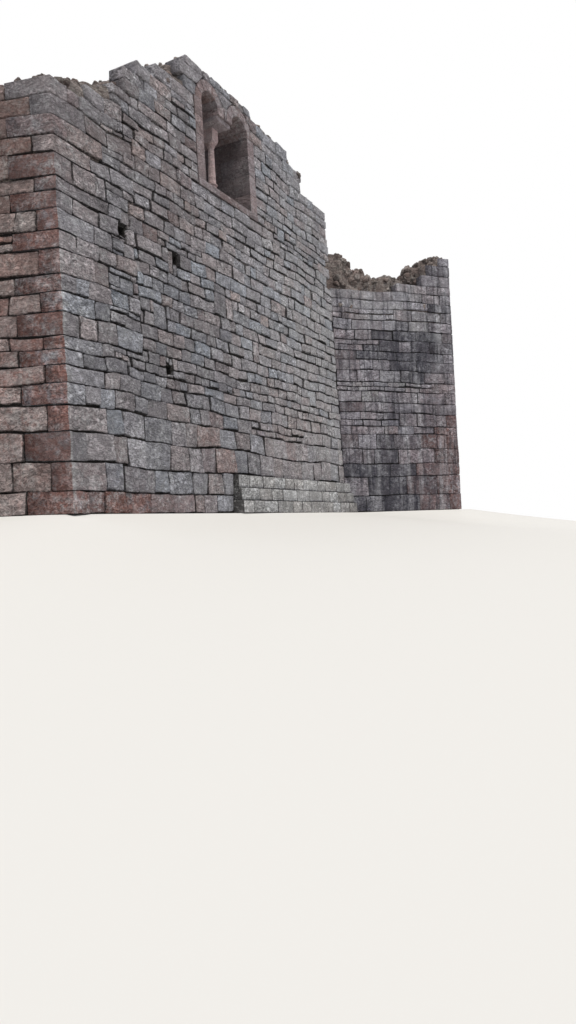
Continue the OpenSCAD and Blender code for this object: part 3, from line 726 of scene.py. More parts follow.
# Beds of one course from a to b, some stretches of it in two thin ones: joints, bottom, top
def bedsBetween(a, b, z0, z1, below, rng, v):
    beds = []
    while a < b:
        far = a + rng.uniform(*v["stretch"])
        far = b if b - far < v["leastStretch"] else far
        levels = [z0, z1]
        if z1 - z0 > v["splitOver"] and rng.random() < v["split"]:
            levels.insert(1, z0 + (z1 - z0) * rng.uniform(*v["splitAt"]))
        last = below
        for low, high in zip(levels, levels[1:]):
            share = v["lengthBase"] + v["lengthRise"] * (high - low)  # lower stones are shorter too
            last = jointsBetween(a, far, [c * share for c in v["lengths"]], last, rng, v)
            beds.append((last, low, high))
        a = far
    return beds


# Beds of a whole course, a quoin's first, each with how fast its first and last joint shift upwards
def courseBeds(face, n, a, b, z0, z1, below, rng, v):
    beds = []
    if face["quoin"]:
        own = v["longQuoin"] if (n + face["quoin"]["odd"]) % 2 else v["shortQuoin"]
        own *= rng.uniform(*v["quoinStray"])
        beds.append(([a, a + own], z0, z1, 0.0, 0.0))
        a += own
    for x0, x1, s0, s1 in openRuns(a, b, z0, z1, face["holes"], face["arches"]):
        whole = s0 or s1 or z0 < v["wholeBelow"]
        way = {**v, "split": 0.0} if whole else v
        for edges, low, high in bedsBetween(x0, x1, z0, z1, below, rng, way):
            beds.append((edges, low, high, s0 if edges[0] == x0 else 0.0, s1 if edges[-1] == x1 else 0.0))
    return beds


# Which stones of a bed fill the next course too
def tallOnes(face, edges, high, above, rng, v):
    return {k for k in range(len(edges) - 1)
            if rng.random() < v["jumper"] and edges[k + 1] - edges[k] < v["tallWidth"]
            and face["crest"](edges[k]) > above + v["tallBelowTop"]
            and all(math.hypot(edges[k] - c[0], high - c[1]) > radius + v["tallOffArch"]
                    for c, radius in face["arches"])}


# Whether most of a stone lies on stones below it, or on an arch
def borne(r, kept, arches, v):
    middle = (r[0] + r[1]) / 2
    if any(math.hypot(middle - c[0], r[2] - c[1]) < radius + v["archPlay"] for c, radius in arches):
        return True
    carried = sum(max(0.0, min(r[1], k[1]) - max(r[0], k[0]))
                  for k in kept if abs(k[3] - r[2]) < v["bedPlay"])
    return carried > v["leastBorne"] * (r[1] - r[0])


# One stone in its rectangle under the broken top, in course n. The joints of its bed lean by slant.
def stoneIn(r, top, slant, bedMiddle, quoin, n, marks, rng, v):
    out = proud + rng.uniform(-1, 1) * v["pushOut"] - (rng.random() < v["sunk"]) * v["sink"]
    out = max(out, v["leastOut"])
    onTop = r[3] > top - v["topBand"]
    deep = v["topDepth"] if onTop else v["depth"]
    joint = [rng.uniform(*v[way]) for way in ("side", "side", "bed", "bed")]
    joint[2] += (rng.random() < v["open"]) * rng.uniform(*v["openShare"]) * v["gap"]
    middle = (r[2] + r[3]) / 2
    rise = middle - bedMiddle
    ends = [r[0] + slant[0] * rise + joint[0], r[1] + slant[1] * rise - joint[1]]
    stone = dict(slant=slant, tilt=[rng.uniform(-1, 1) * v[way] for way in ("tip", "roll", "tip")])
    if quoin:
        out, deep, ends[0] = proud, quoin["depths"][n % 2], r[0]
        stone.update(skew=(quoin["cot"], 0, 0), tilt=(0, 0, 0), quoin=1.0)
        joint[2] = min(joint[2], v["bed"][1])
    small = min(r[1] - r[0], r[3] - r[2])
    stone.update(low=(ends[0], -out, r[2] + joint[2]), high=(ends[1], deep - out, r[3] - joint[3]),
                 soft=min(rng.uniform(*v["soft"]), small / 4), tone=rng.random(),
                 warm=rng.gauss(*v["warm"]), blush=v["redness"] * (rng.random() < v["redStone"]))
    # on the broken top, and on some stones more than others, the dirt and painted shade along the joints
    # are fainter
    stone["bare"] = max(float(onTop), v["clean"] * (29 * stone["tone"] % 1))
    stained(stone, (r[0] + r[1]) / 2, middle, marks, rng, v)
    if quoin:
        stone["soft"] *= v["quoinSoft"]
    else:
        stone["arris"] = stone["endBlush"] = 0.0
    return stone


# A face is its two limits at a height, the height of its broken top, what no stone covers, how its
# quoins are laid, what the next wall's quoins take, its stains, and what carries its first stones
plainFace = dict(holes=(), arches=(), quoin=None, yieldEnd=None, marks=(), carried=())


# Stones of one face, course by course
def faceStones(face, lines, rng, v):
    crest, arches, marks = face["crest"], face["arches"], face["marks"]
    stones, kept, below, taken = [], list(face["carried"]), [], []
    for n, (z0, z1) in enumerate(zip(lines, lines[1:])):
        a, b = face["start"]((z0 + z1) / 2), face["end"]((z0 + z1) / 2)
        if z0 > max(crest(a + (b - a) * k / 40) for k in range(41)):
            break
        stop = b - face["yieldEnd"][n % 2] if face["yieldEnd"] else b
        beds = courseBeds(face, n, a, stop, z0, z1, below, rng, v)
        below = [e for bed in beds if bed[2] == z1 for e in bed[0]]
        if face["yieldEnd"]:
            kept.append((stop, b, z0, z1))
        covered, taken = list(face["holes"]) + taken, []
        for number, (edges, low, high, first, last) in enumerate(beds):
            quoin = None if number else face["quoin"]
            above = lines[n + 2] if high == z1 and not quoin and n + 2 < len(lines) else None
            tall = tallOnes(face, edges, high, above, rng, v) if above else set()
            plumb = {0, len(edges) - 1} | tall | {k + 1 for k in tall}
            slants = [0.0 if k in plumb else rng.uniform(-1, 1) * v["slant"] for k in range(len(edges))]
            slants[0], slants[-1] = first, last
            for k, (s0, s1) in enumerate(zip(edges, edges[1:])):
                rects = [(s0, s1, low, above if k in tall else high)]
                for hole in covered:
                    rects = cutAway(rects, hole)
                if k in tall:
                    taken.append((s0, s1, z1, above))
                for r in sorted(rects, key=lambda q: q[2]):
                    top = crest((r[0] + r[1]) / 2)
                    if (r[2] + r[3]) / 2 > top + rng.uniform(*v["overTop"]):
                        continue
                    # near the broken top no stone stands on air
                    raised = r[2] > max(lines[0], top - v["borneBelowTop"])
                    if raised and not borne(r, kept, arches, v):
                        continue
                    kept.append(r)
                    slant = (slants[k] if r[0] == s0 else 0.0, slants[k + 1] if r[1] == s1 else 0.0, 0.0)
                    stones.append(stoneIn(r, top, slant, (low + high) / 2, quoin, n, marks, rng, v))
    return stones


# Quoins at the start of these walls: which of their courses have the long stones
quoinCorners = {"front": 0, "towerEnd": 1, "towerRight": 0, "rear": 1, "left": 0}


# How far the quoins of a wall's start run back along the wall before it, in even and odd courses
def quoinReaches(name, v):
    return [v["shortQuoin"] if (n + quoinCorners[name]) % 2 else v["longQuoin"] for n in range(2)]


# Height of a facing's broken top. Where the core stands much higher behind it, it has one course more.
def crestOn(w, v):
    over = v["overCrest"].get(w["name"], 0.0)

    def crest(s):
        along = min(max(s, v["crestOffEnd"]), w["length"] - v["crestOffEnd"])
        own, behind = (crestAt(w, along, depth) for depth in v["crestDepths"])
        return own + over if behind > own + 1.5 * over else own

    return crest


# How far the stones beside the quoins reach before the field's lower courses begin
def besideEnd(z, v):
    return v["besideQuoins"] + v["besideStray"] * math.sin(z * v["besideTurns"])


# Stones of an outer face: all of it, its corner with quoins and the stones beside them, or its field
def outerFace(w, lines, rng, v, holes, arches, part, cornerLines):
    i = w["number"]
    before, after = walls[i - 1], walls[(i + 1) % len(walls)]

    def limit(other):
        return lambda z: crossing(i, other["number"], w["lean"] * z - proud, other["lean"] * z - proud)

    face = {**plainFace, "start": limit(before), "end": limit(after), "crest": crestOn(w, v),
            "holes": holes, "arches": arches, "marks": stains.get(w["name"], ())}
    steps = [(besideEnd((a + b) / 2, v), a, b) for a, b in zip(cornerLines, cornerLines[1:])]
    if part == "field":
        taken = [(-1, s, a, b) for s, a, b in steps]
        face.update(start=lambda z: v["besideQuoins"] - v["besideStray"], holes=holes + taken,
                    carried=taken)
        return faceStones(face, lines, rng, v)
    if w["name"] in quoinCorners:
        cot = w["dir"].dot(before["dir"]) / before["dir"].dot(w["inward"])
        sine = 1 / math.sqrt(1 + cot * cot)
        face["quoin"] = dict(odd=quoinCorners[w["name"]], cot=cot,
                             depths=[reach * sine for reach in quoinReaches(w["name"], v)])
    if part == "corner":
        face.update(end=lambda z: besideEnd(z, v), carried=[(s, s + 1.5, a, b) for s, a, b in steps])
    elif after["name"] in quoinCorners:
        face["yieldEnd"] = quoinReaches(after["name"], v)
    return faceStones(face, lines, rng, v)


# Stones of an inner face, up to a level or to the broken top
def innerFace(w, lines, rng, v, depth, level, holes, arches):
    i, length = w["number"], w["length"]
    away = depth + proud
    first, last = (length - crossing(i, other["number"], away, away)
                   for other in (walls[(i + 1) % len(walls)], walls[i - 1]))

    def crest(s):
        back = min(max(length - s, 0.1), length - 0.1)
        return level or crestAt(w, back, keep["upperT"] - 0.1)

    face = {**plainFace, "start": lambda z: first, "end": lambda z: last, "crest": crest,
            "holes": holes, "arches": arches}
    return faceStones(face, lines, rng, v)


# What no stone covers at a wall's twin window and at the doorway. From inside, distances run back.
def windowHoles(w, inside=False):
    half = window["off"] + window["radius"] + window["jambW"]
    at = w["length"] - window[w["name"]] if inside else window[w["name"]]
    arches = [((at + side * window["off"], window["springZ"]), window["radius"] + window["ringD"])
              for side in (-1, 1)]
    return [(at - half, at + half, window["sillZ"] - window["sillT"], window["springZ"])], arches


def doorHoles(w, inside=False):
    half = doorway["half"] + doorway["jambW"]
    at = w["length"] - doorway["middle"] if inside else doorway["middle"]
    arches = [((at, doorway["springZ"]), doorway["half"] + doorway["ringD"])]
    return [(at - half, at + half, -1, doorway["springZ"])], arches


pieces = []


def keepPiece(obj, slot, *nodes):
    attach(obj, "root")
    if nodes:
        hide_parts(*nodes)
    pieces.append(obj)


# Seed, most stones in a piece, where a face is parted, and the waves that its beds and face have sunk in
ashlar = dict(seed=11, most=620, splitAt=3.4, sag=0.07, sagPitch=0.5, ripple=0.035, ripplePitch=1.6,
              swell=0.018, ease=1.1)
# What the beds don't sink beside: wall, distance along it, height, reach
stillPlaces = [("front", window["front"], 7.9, 1.55), ("rear", window["rear"], 7.9, 1.55),
               ("rear", doorway["middle"], 1.3, 1.5)]
stillPlaces += [("front", s, z, 0.25) for s, z in sockets["places"]]


# Beds have sunk unevenly and the faces swell: one slow wave runs through all the stones
def settle(obj, w, v):
    places = [(w["start"] + s * w["dir"], z, reach)
              for name, s, z, reach in stillPlaces if name == w["name"]]
    inward = w["inward"].to_3d()
    for vert in obj.data.vertices:
        p = vert.co.copy()
        free = clamped(p.z / v["ease"])
        for plan, z, reach in places:
            away = math.hypot((p.xy - plan).dot(w["dir"]), p.z - z)
            free = min(free, max(0.0, (away - reach) / v["ease"]))
        wave = v["sag"] * noise.noise(p * v["sagPitch"]) + v["ripple"] * noise.noise(p * v["ripplePitch"])
        swell = v["swell"] * noise.noise(p * v["ripplePitch"] + Vector((31, 0, 0)))
        vert.co = p + Vector((0, 0, free * wave)) + inward * (swell * min(1.0, free + 0.3))


wallLooks = dict(front="grey", rear="grey", left="red", right="red", towerLeft="purple",
                 towerEnd="purple", towerRight="purple")


# The outer faces. The front has its quoins' courses beside the corner and lower ones in its field.
def buildFaces(rng, levels, v):
    block = courseLines(courses["block"], rng, levels=levels[1:])
    tower = courseLines(courses["tower"], rng)
    field = courseLines(courses["field"], rng, 0.0, courses["fieldRise"], levels)
    front, rear = wallOf["front"], wallOf["rear"]
    frontHoles, frontArches = windowHoles(front)
    frontHoles.append((plinth["start"], math.inf, -1, plinth["rise"] * plinth["courses"]))
    h = sockets["half"] + sockets["worn"]
    frontHoles += [(s - h, s + h, z - h, z + h) for s, z in sockets["places"]]
    rearHoles, rearArches = (one + two for one, two in zip(windowHoles(rear), doorHoles(rear)))
    plans = dict(front=("rough", "near", [(block, frontHoles, [], "corner"),
                                          (field, frontHoles, frontArches, "field")]),
                 left=("long", "near", [(block, [], [], "all")]),
                 towerLeft=("even", "near", [(tower, [], [], "all")]),
                 towerEnd=("even", "plain", [(tower, [], [], "all")]),
                 towerRight=("even", "plain", [(tower, [], [], "all")]),
                 right=("even", "plain", [(block, [], [], "all")]),
                 rear=("even", "plain", [(block, rearHoles, rearArches, "all")]))
    for name, (style, unit, parts) in plans.items():
        w, way, look = wallOf[name], {**facing, **styles[style]}, wallLooks[name]
        stones = []
        for lines, holes, arches, part in parts:
            stones += outerFace(w, lines, rng, way, holes, arches, part, block)
        # two pieces where a face has many stones
        half = v["splitAt"] if len(stones) > v["most"] else math.inf
        for piece, group in ((f"{name}_ashlar", [q for q in stones if q["low"][2] < half]),
                             (f"{name}_upper_ashlar", [q for q in stones if q["low"][2] >= half])):
            if group:
                obj = layStones(piece, group, faceMatrix(w), unit, look, way)
                settle(obj, w, v)
                keepPiece(obj, f"{look}_sandstone")


# The faces inside, storey by storey: up to the ledge, and from the floor to the broken top
def buildInside(rng, levels):
    way = {**facing, **styles["inside"]}
    for storey, depth, level, low in (("ground", keep["wallT"], keep["ledgeZ"], 0.0),
                                      ("upper", keep["upperT"], None, keep["floorTop"])):
        for w in walls:
            known = courses["tower" if "tower" in w["name"] else "block"]
            lines = courseLines(known, rng, low, levels=levels[1:])
            if lines[0] - low > way["leastCourse"]:
                lines.insert(0, low)
            holes, arches = [], []
            if level:
                lines = [z for z in lines if z < level - way["leastCourse"]] + [level]
                if w["name"] == "rear":
                    holes, arches = doorHoles(w, True)
            elif w["name"] in window:
                holes, arches = windowHoles(w, True)
            stones = innerFace(w, lines, rng, way, depth, level, holes, arches)
            look = wallLooks[w["name"]]
            obj = layStones(f"{w['name']}_{storey}_inside_stones", stones, faceMatrix(w, True, depth),
                            "inner", look, way)
            keepPiece(obj, f"{look}_sandstone")


def buildAshlar(v):
    rng = random.Random(v["seed"])
    levels = [window["sillZ"] - window["sillT"], window["springZ"],
              window["springZ"] + window["radius"] + window["ringD"]]
    buildFaces(rng, levels, v)
    buildInside(rng, levels)


buildAshlar(ashlar)

# Core of the broken tops, in metres
core = dict(
    seed=5, voxel=0.08, topRough=0.075, faceRough=0.008, sunk=0.006, lump=(2.3, 0.9), grit=(6.1, 0.6),
    # where it counts as torn open: on a slope on top, and inside both faces where an end is broken off
    tornSlope=0.25, slopeGain=2.5, overhang=-0.3, shell=0.2, ledgeNear=0.08, masonryNear=0.2,
    # how far the front's core is carried on to the tower's
    bond=0.36, bondSlope=0.35, bondNear=0.15,
    # painted shade of the joints on the untorn core, its shades, and the rubble strewn on a square metre
    cleanRim=0.45, shade=1.3, tornFrom=0.6, density=26.0, rubbleSize=0.15, least=0.45, most=1.35)


# Distance of a point from the nearest outer face of the keep; faces reach a little round the corners
def fromOutside(p):
    best = keep["wallT"]
    for w in walls:
        flat = p.xy - w["start"]
        if -0.4 < flat.dot(w["dir"]) < w["length"] + 0.4:
            best = min(best, abs(flat.dot(w["inward"]) - w["lean"] * p.z))
    return best


# How far the masonry is torn open at a point of its surface: on top, and where an end is broken off
def tornAt(p, n, w, v):
    depth = (p.xy - w["start"]).dot(w["inward"])
    level = clamped((n.z - v["tornSlope"]) * v["slopeGain"])
    inside = w["lean"] * p.z + v["shell"] < depth < keep["upperT"] - v["shell"]
    broken = 1.0 if inside and fromOutside(p) > v["shell"] and n.z > v["overhang"] else 0.0
    share = max(level, broken)
    # the ledge isn't torn, nor what stands against other masonry
    onLedge = abs(p.z - keep["ledgeZ"]) < v["ledgeNear"]
    if share and (onLedge or everything.ray_cast(p + n * 0.05, n, v["masonryNear"])[0]):
        return 0.0
    return share


# Where the tower's facing has come off, the front wall's core fills the space up to the tower's core
def bondAt(p, n, w, v):
    tower = wallOf["towerLeft"]
    away = (p.xy - tower["start"]).dot(tower["inward"]) - tower["lean"] * p.z
    share = clamped((n.xy.dot(tower["inward"]) - v["bondSlope"]) * v["slopeGain"])
    share = share if abs(away) < v["bondNear"] else 0.0
    shift = tower["inward"] * v["bond"] * share
    over = (p.xy + shift - w["start"]).dot(w["inward"]) - keep["upperT"] + 0.02
    return (shift - w["inward"] * max(0.0, over)).to_3d() if share else Vector((0, 0, 0))


# Core of a broken wall: a copy of the solid, remeshed and roughened where it is torn open
def coreOf(node, w, v):
    made = bmesh.new()
    made.from_mesh(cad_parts[node].data)
    bmesh.ops.remove_doubles(made, verts=made.verts, dist=0.0005)
    mesh = bpy.data.meshes.new(f"{node}_core")
    made.to_mesh(mesh)
    made.free()
    obj = placeObject(f"{node}_core", mesh)
    remesh = obj.modifiers.new("even mesh", "REMESH")
    remesh.mode, remesh.voxel_size = "VOXEL", v["voxel"]
    applied(obj)
    values = dict(torn=[], rim=[], tone=[], warm=[])
    normals = [n.vector.copy() for n in obj.data.vertex_normals]
    for vert, n in zip(obj.data.vertices, normals):
        p = vert.co.copy()
        share = tornAt(p, n, w, v)
        lumps = noise.noise(p * v["lump"][0] + Vector((0, 0, 40))) * v["lump"][1]
        bump = lumps + noise.noise(p * v["grit"][0]) * v["grit"][1]
        plain = v["faceRough"] * bump - v["sunk"]
        vert.co = p + n * (share * v["topRough"] * bump + (1 - share) * plain)
        if node == "front_wall_upper_right":
            vert.co += bondAt(p, n, w, v)
        values["torn"].append(share)
        # untorn core faces take the dirt and painted shade of the joints
        values["rim"].append(v["cleanRim"] * (1 - share))
        for key, shift in (("tone", 9), ("warm", 23)):
            values[key].append(0.5 + 0.5 * noise.noise(p * v["shade"] + Vector((shift, 0, 0))))
    for key, row in values.items():
        layer = obj.data.attributes.new(key, "FLOAT", "POINT")
        layer.data.foreach_set("value", row)
    for p in obj.data.polygons:
        p.use_smooth = True
    obj.data.materials.clear()
    obj.data.materials.append(looks["rubble"])
    return obj


# A lump of rubble: a bevelled block with its corners knocked about
def rubbleStone(name, rng):
    made = bmesh.new()
    bmesh.ops.create_cube(made, size=1.0)
    for vert in made.verts:
        vert.co = Vector((vert.co.x * rng.uniform(0.8, 1.25), vert.co.y * rng.uniform(0.6, 1.0),
                          vert.co.z * rng.uniform(0.45, 0.8)))
    bmesh.ops.bevel(made, geom=made.edges[:] + made.verts[:], offset=0.14, segments=1, affect="EDGES")
    for vert in made.verts:
        vert.co += Vector((rng.uniform(-1, 1), rng.uniform(-1, 1), rng.uniform(-1, 1))) * 0.035
    return bpy.data.objects.new(name, finishMesh(made, name))


# Tree that strews rubble over what is torn open
def strewnTree():
    tree, given = newTree("strewn rubble", Stone="Object", TornFrom="Float", Density="Float",
                          Size="Float", Least="Float", Most="Float", Seed="Int", Material="Material")
    add = partial(addNode, tree)
    torn = add("GeometryNodeInputNamedAttribute", ("torn",), data_type="FLOAT")
    torn = add("ShaderNodeMath", (torn, given["TornFrom"]), operation="GREATER_THAN")
    dense = add("ShaderNodeMath", (torn, given["Density"]), operation="MULTIPLY")
    points = add("GeometryNodeDistributePointsOnFaces", {
        "Mesh": given["Geometry"], "Density": dense, "Seed": given["Seed"]})
    turn = add("FunctionNodeRandomValue", {0: (0, 0, 0), 1: (6.28, 6.28, 6.28), "Seed": given["Seed"]},
               data_type="FLOAT_VECTOR")
    size = add("FunctionNodeRandomValue", {2: given["Least"], 3: given["Most"], "Seed": given["Seed"]},
               data_type="FLOAT")
    size = add("ShaderNodeMath", (size, given["Size"]), operation="MULTIPLY")
    stone = add("GeometryNodeObjectInfo", {"Object": given["Stone"]}).node.outputs["Geometry"]
    last = add("GeometryNodeInstanceOnPoints", {"Points": points, "Instance": stone, "Rotation": turn,
                                                "Scale": size})
    for key, seed in (("tone", 3), ("warm", 7)):
        chance = add("FunctionNodeRandomValue", {2: 0.0, 3: 1.0, "Seed": seed}, data_type="FLOAT")
        last = add("GeometryNodeStoreNamedAttribute", {"Geometry": last, "Name": key, "Value": chance},
                   data_type="FLOAT", domain="INSTANCE")
    last = add("GeometryNodeRealizeInstances", (last,))
    last = add("GeometryNodeSetMaterial", {"Geometry": last, "Material": given["Material"]})
    add("NodeGroupOutput", (last,))
    return tree


coreNodes = dict(
    front=["front_wall_upper_left", "front_wall_upper_right", "front_window_breast",
           "front_window_head"],
    towerLeft=["tower_left_wall_upper"], towerEnd=["tower_end_wall_upper"],
    towerRight=["tower_right_wall_upper"], right=["right_wall_upper"],
    rear=["rear_wall_upper_left", "rear_wall_upper_right", "rear_window_breast", "rear_window_head"],
    left=["left_wall_upper"])


def buildCores(v):
    rng = random.Random(v["seed"])
    stone = rubbleStone("rubble stone", rng)
    tree = strewnTree()
    for name, nodes in coreNodes.items():
        slot = f"{wallLooks[name]}_sandstone"
        for node in nodes:
            obj = coreOf(node, wallOf[name], v)
            print(obj.name, len(obj.data.polygons), "faces")
            if "breast" not in node:
                piece = node.replace("wall_upper", "rubble").replace("window_head", "head_rubble")
                loose = placeObject(piece, obj.data.copy())
                runTree(loose, tree, {"Stone": stone, "TornFrom": v["tornFrom"], "Density": v["density"],
                                      "Size": v["rubbleSize"], "Least": v["least"], "Most": v["most"],
                                      "Seed": rng.randrange(999), "Material": looks["rubble"]})
                print(loose.name, len(loose.data.polygons), "faces")
                keepPiece(loose, slot)
            keepPiece(obj, slot, node)


buildCores(core)


# Several objects as one of a new name, with the first one's materials
def joined(name, parts):
    made = bmesh.new()
    for part in parts:
        made.from_mesh(part.data)
    mesh = bpy.data.meshes.new(name)
    made.to_mesh(mesh)
    made.free()
    for material in parts[0].data.materials:
        mesh.materials.append(material)
    for part in parts:
        bpy.data.objects.remove(part)
    return placeObject(name, mesh)


# Dressed stones: blocks of the jambs, sills, threshold and plinth, and wedge stones of the arches
dressing = dict(seed=23, joint=-0.001, soft=0.010, softStray=(0.8, 1.4), uneven=0.007, grain=7.0,
                blockRise=0.42, riseStray=0.16, blockCuts=(0.62, 0.36), sillOut=0.012, sillSoft=0.014,
                sillCuts=(-1, -0.36, 0.3, 1), thresholdCut=-0.2, thresholdSoft=0.02, wedgeOut=0.006,
                wedgeFront=0.005, sharpEdge=35)


# One block between limits along, through and up the wall, half a joint in
def block(rng, v, x, y, z, skew=(0.0, 0.0, 0.0), soft=None):
    j = v["joint"]
    return dict(low=(x[0] + j, y[0], z[0] + j), high=(x[1] - j, y[1], z[1] - j), skew=skew,
                soft=soft or v["soft"] * rng.uniform(*v["softStray"]), tone=rng.random(),
                warm=rng.random())


# Blocks of a jamb, two to a course through the wall
def stack(rng, v, x, y, z):
    rise = z[1] - z[0]
    count = max(1, round(rise / v["blockRise"]))
    lines = [z[0] + rise * (k + rng.uniform(-v["riseStray"], v["riseStray"])) / count
             for k in range(1, count)]
    made = []
    for n, level in enumerate(zip([z[0]] + lines, lines + [z[1]])):
        cut = y[0] + (y[1] - y[0]) * v["blockCuts"][n % 2]
        made += [block(rng, v, x, (y[0], cut - v["joint"]), level),
                 block(rng, v, x, (cut + v["joint"], y[1]), level)]
    return made


# Blocks of both jambs of an opening
def jambs(rng, v, at, half, wide, y, z):
    return (stack(rng, v, (at - half - wide, at - half), y, z)
            + stack(rng, v, (at + half, at + half + wide), y, z))


# Wedge stones of a round arch, from the face to the back of the wall
def wedges(arch, rng, v):
    made = bmesh.new()
    toneLayer, warmLayer = (made.verts.layers.float.new(key) for key in ("tone", "warm"))
    (x, z), r, d, back = arch["centre"], arch["radius"], arch["ring"], arch["through"][1]
    step, gap = math.pi / arch["count"], v["joint"] / (r + d / 2)
    for k in range(arch["count"]):
        a0, a1 = k * step + gap, (k + 1) * step - gap
        out = d + rng.uniform(-v["wedgeOut"], v["wedgeOut"])
        front = arch["through"][0] + rng.uniform(-v["wedgeFront"], v["wedgeFront"])
        sides = []
        for a in (a0, (2 * a0 + a1) / 3, (a0 + 2 * a1) / 3, a1):
            ring = [(r, front), (r + out, front), (r + out, back), (r, back)]
            sides.append([made.verts.new((x + q * math.cos(a), p, z + q * math.sin(a))) for q, p in ring])
        faces = [made.faces.new(sides[0][::-1]), made.faces.new(sides[-1])]
        for one, two in zip(sides, sides[1:]):
            faces += [made.faces.new((one[e], one[(e + 1) % 4], two[(e + 1) % 4], two[e]))
                      for e in range(4)]
        bmesh.ops.recalc_face_normals(made, faces=faces)
        tone, warm = rng.random(), rng.random()
        edges = {e for f in faces for e in f.edges
                 if len(e.link_faces) == 2 and e.calc_face_angle(0) > math.radians(v["sharpEdge"])}
        result = bmesh.ops.bevel(made, geom=list(edges), offset=v["soft"], segments=2, affect="EDGES")
        for f in [f for f in faces if f.is_valid] + result["faces"]:
            for q in f.verts:
                q[toneLayer], q[warmLayer] = tone, warm
    return made


def buildArches(name, arches, rng, v, node):
    parts = []
    for arch in arches:
        made = wedges(arch, rng, v)
        bmesh.ops.transform(made, matrix=arch["matrix"], verts=made.verts)
        parts.append(placeObject("arch", finishMesh(made, "arch")))
        parts[-1].data.materials.append(looks["dressed"])
    keepPiece(joined(name, parts), "dressed_sandstone", node)


# Jambs, sills and arches of the two twin windows
def buildWindows(rng, v):
    thick = keep["upperT"] + proud
    edge = window["off"] + window["radius"]
    half = edge + window["jambW"]
    groups, arches = dict(jamb=[], sill=[]), []
    for name in ("front", "rear"):
        w, at = wallOf[name], window[name]
        z = (window["sillZ"], window["springZ"])
        through = (-proud, thick - w["lean"] * sum(z) / 2)
        groups["jamb"].append((w, jambs(rng, v, at, edge, window["jambW"], through, z)))
        under = (window["sillZ"] - window["sillT"], window["sillZ"])
        through = (-proud - v["sillOut"], thick - w["lean"] * window["sillZ"])
        cuts = [at + half * share for share in v["sillCuts"]]
        groups["sill"].append((w, [block(rng, v, x, through, under, soft=v["sillSoft"])
                                   for x in zip(cuts, cuts[1:])]))
        for side in (-1, 1):
            arches.append(dict(
                matrix=faceMatrix(w), centre=(at + side * window["off"], window["springZ"]),
                radius=window["radius"], ring=window["ringD"], count=window["ringCount"],
                through=(-proud, thick - w["lean"] * window["archZ"])))
    for kind, rows in groups.items():
        piece = f"window_{kind}_blocks"
        parts = [layStones(f"{piece}_{w['name']}", stones, faceMatrix(w), "block", "dressed", v)
                 for w, stones in rows]
        keepPiece(joined(piece, parts), "dressed_sandstone", f"window_{kind}s")
    buildArches("window_arch_stones", arches, rng, v, "window_arches")


def buildDoorway(rng, v):
    rear = wallOf["rear"]
    through = (-proud, keep["wallT"] + proud)
    at, half = doorway["middle"], doorway["half"]
    stones = jambs(rng, v, at, half, doorway["jambW"], through, (0.0, doorway["springZ"]))
    cuts = [at - half, at + v["thresholdCut"], at + half]
    keepPiece(layStones("door_jamb_blocks", stones, faceMatrix(rear), "block", "dressed", v),
              "dressed_sandstone", "door_jambs")
    stones = [block(rng, v, x, (-0.01, keep["wallT"]), (0.0, doorway["threshold"]),
                    soft=v["thresholdSoft"]) for x in zip(cuts, cuts[1:])]
    keepPiece(layStones("door_threshold_blocks", stones, faceMatrix(rear), "block", "dressed", v),
              "dressed_sandstone", "door_threshold")
    arch = dict(matrix=faceMatrix(rear), centre=(at, doorway["springZ"]), radius=half,
                ring=doorway["ringD"], count=doorway["ringCount"], through=through)
    buildArches("door_arch_stones", [arch], rng, v, "door_arch")


stoneRng = random.Random(dressing["seed"])
buildWindows(stoneRng, dressing)
buildDoorway(stoneRng, dressing)

plinthStones = dict(seed=31, least=0.42, most=0.85, soft=0.024, softStray=(0.7, 1.3), uneven=0.02,
                    grain=5.0, stray=0.012, inset=0.02, bare=0.1)


# Three stepped courses before the front wall, cut along the tower's face at their far end
def buildPlinth(v):
    rng = random.Random(v["seed"])
    front, tower = wallOf["front"], wallOf["towerLeft"]
    slope = tower["dir"].dot(front["dir"]) / tower["dir"].dot(front["inward"])
    stones = []
    for c in range(plinth["courses"]):
        z = (c * plinth["rise"], (c + 1) * plinth["rise"])
        out, back = plinth["out"] - c * plinth["step"], front["lean"] * z[0]
        last = front["length"] + out * abs(slope)
        edges = [plinth["start"] + c * v["inset"]]
        while last - edges[-1] > 1.5 * v["most"]:
            edges.append(edges[-1] + rng.uniform(v["least"], v["most"]))
        edges += [(edges[-1] + last) / 2, last]
        for x in zip(edges, edges[1:]):
            skew = (0.0, slope if x[1] == last else 0.0, 0.0)
            y = (-out - rng.uniform(0, v["stray"]) - back, back)
            stone = block(rng, dressing, x, y, z, skew, v["soft"] * rng.uniform(*v["softStray"]))
            stones.append({**stone, "bare": v["bare"]})
    keepPiece(layStones("plinth_blocks", stones, faceMatrix(front), "block", "pale", v),
              "pale_sandstone", "front_plinth")


buildPlinth(plinthStones)

flooring = dict(seed=41, width=0.21, gap=0.010, least=2.4, most=4.2, gapRound=1.32, stray=0.004)


# Part of a shape that lies inside a convex outline
def clipped(shape, outline):
    for a, b in zip(outline, outline[1:] + outline[:1]):
        e = b - a
        side = [e.x * (p.y - a.y) - e.y * (p.x - a.x) for p in shape]
        kept = []
        for p, q, sp, sq in zip(shape, shape[1:] + shape[:1], side, side[1:] + side[:1]):
            if sp >= 0:
                kept.append(p)
            if sp * sq < 0:
                kept.append(p + (q - p) * (sp / (sp - sq)))
        shape = kept
        if len(shape) < 3:
            return []
    return shape


# Corner between a wall and the one before it, set in by d from both
def insetCorner(i, d):
    w, o = walls[i], walls[i - 1]
    s = crossing(w["number"], o["number"], d, d)
    return w["start"] + s * w["dir"] + d * w["inward"]


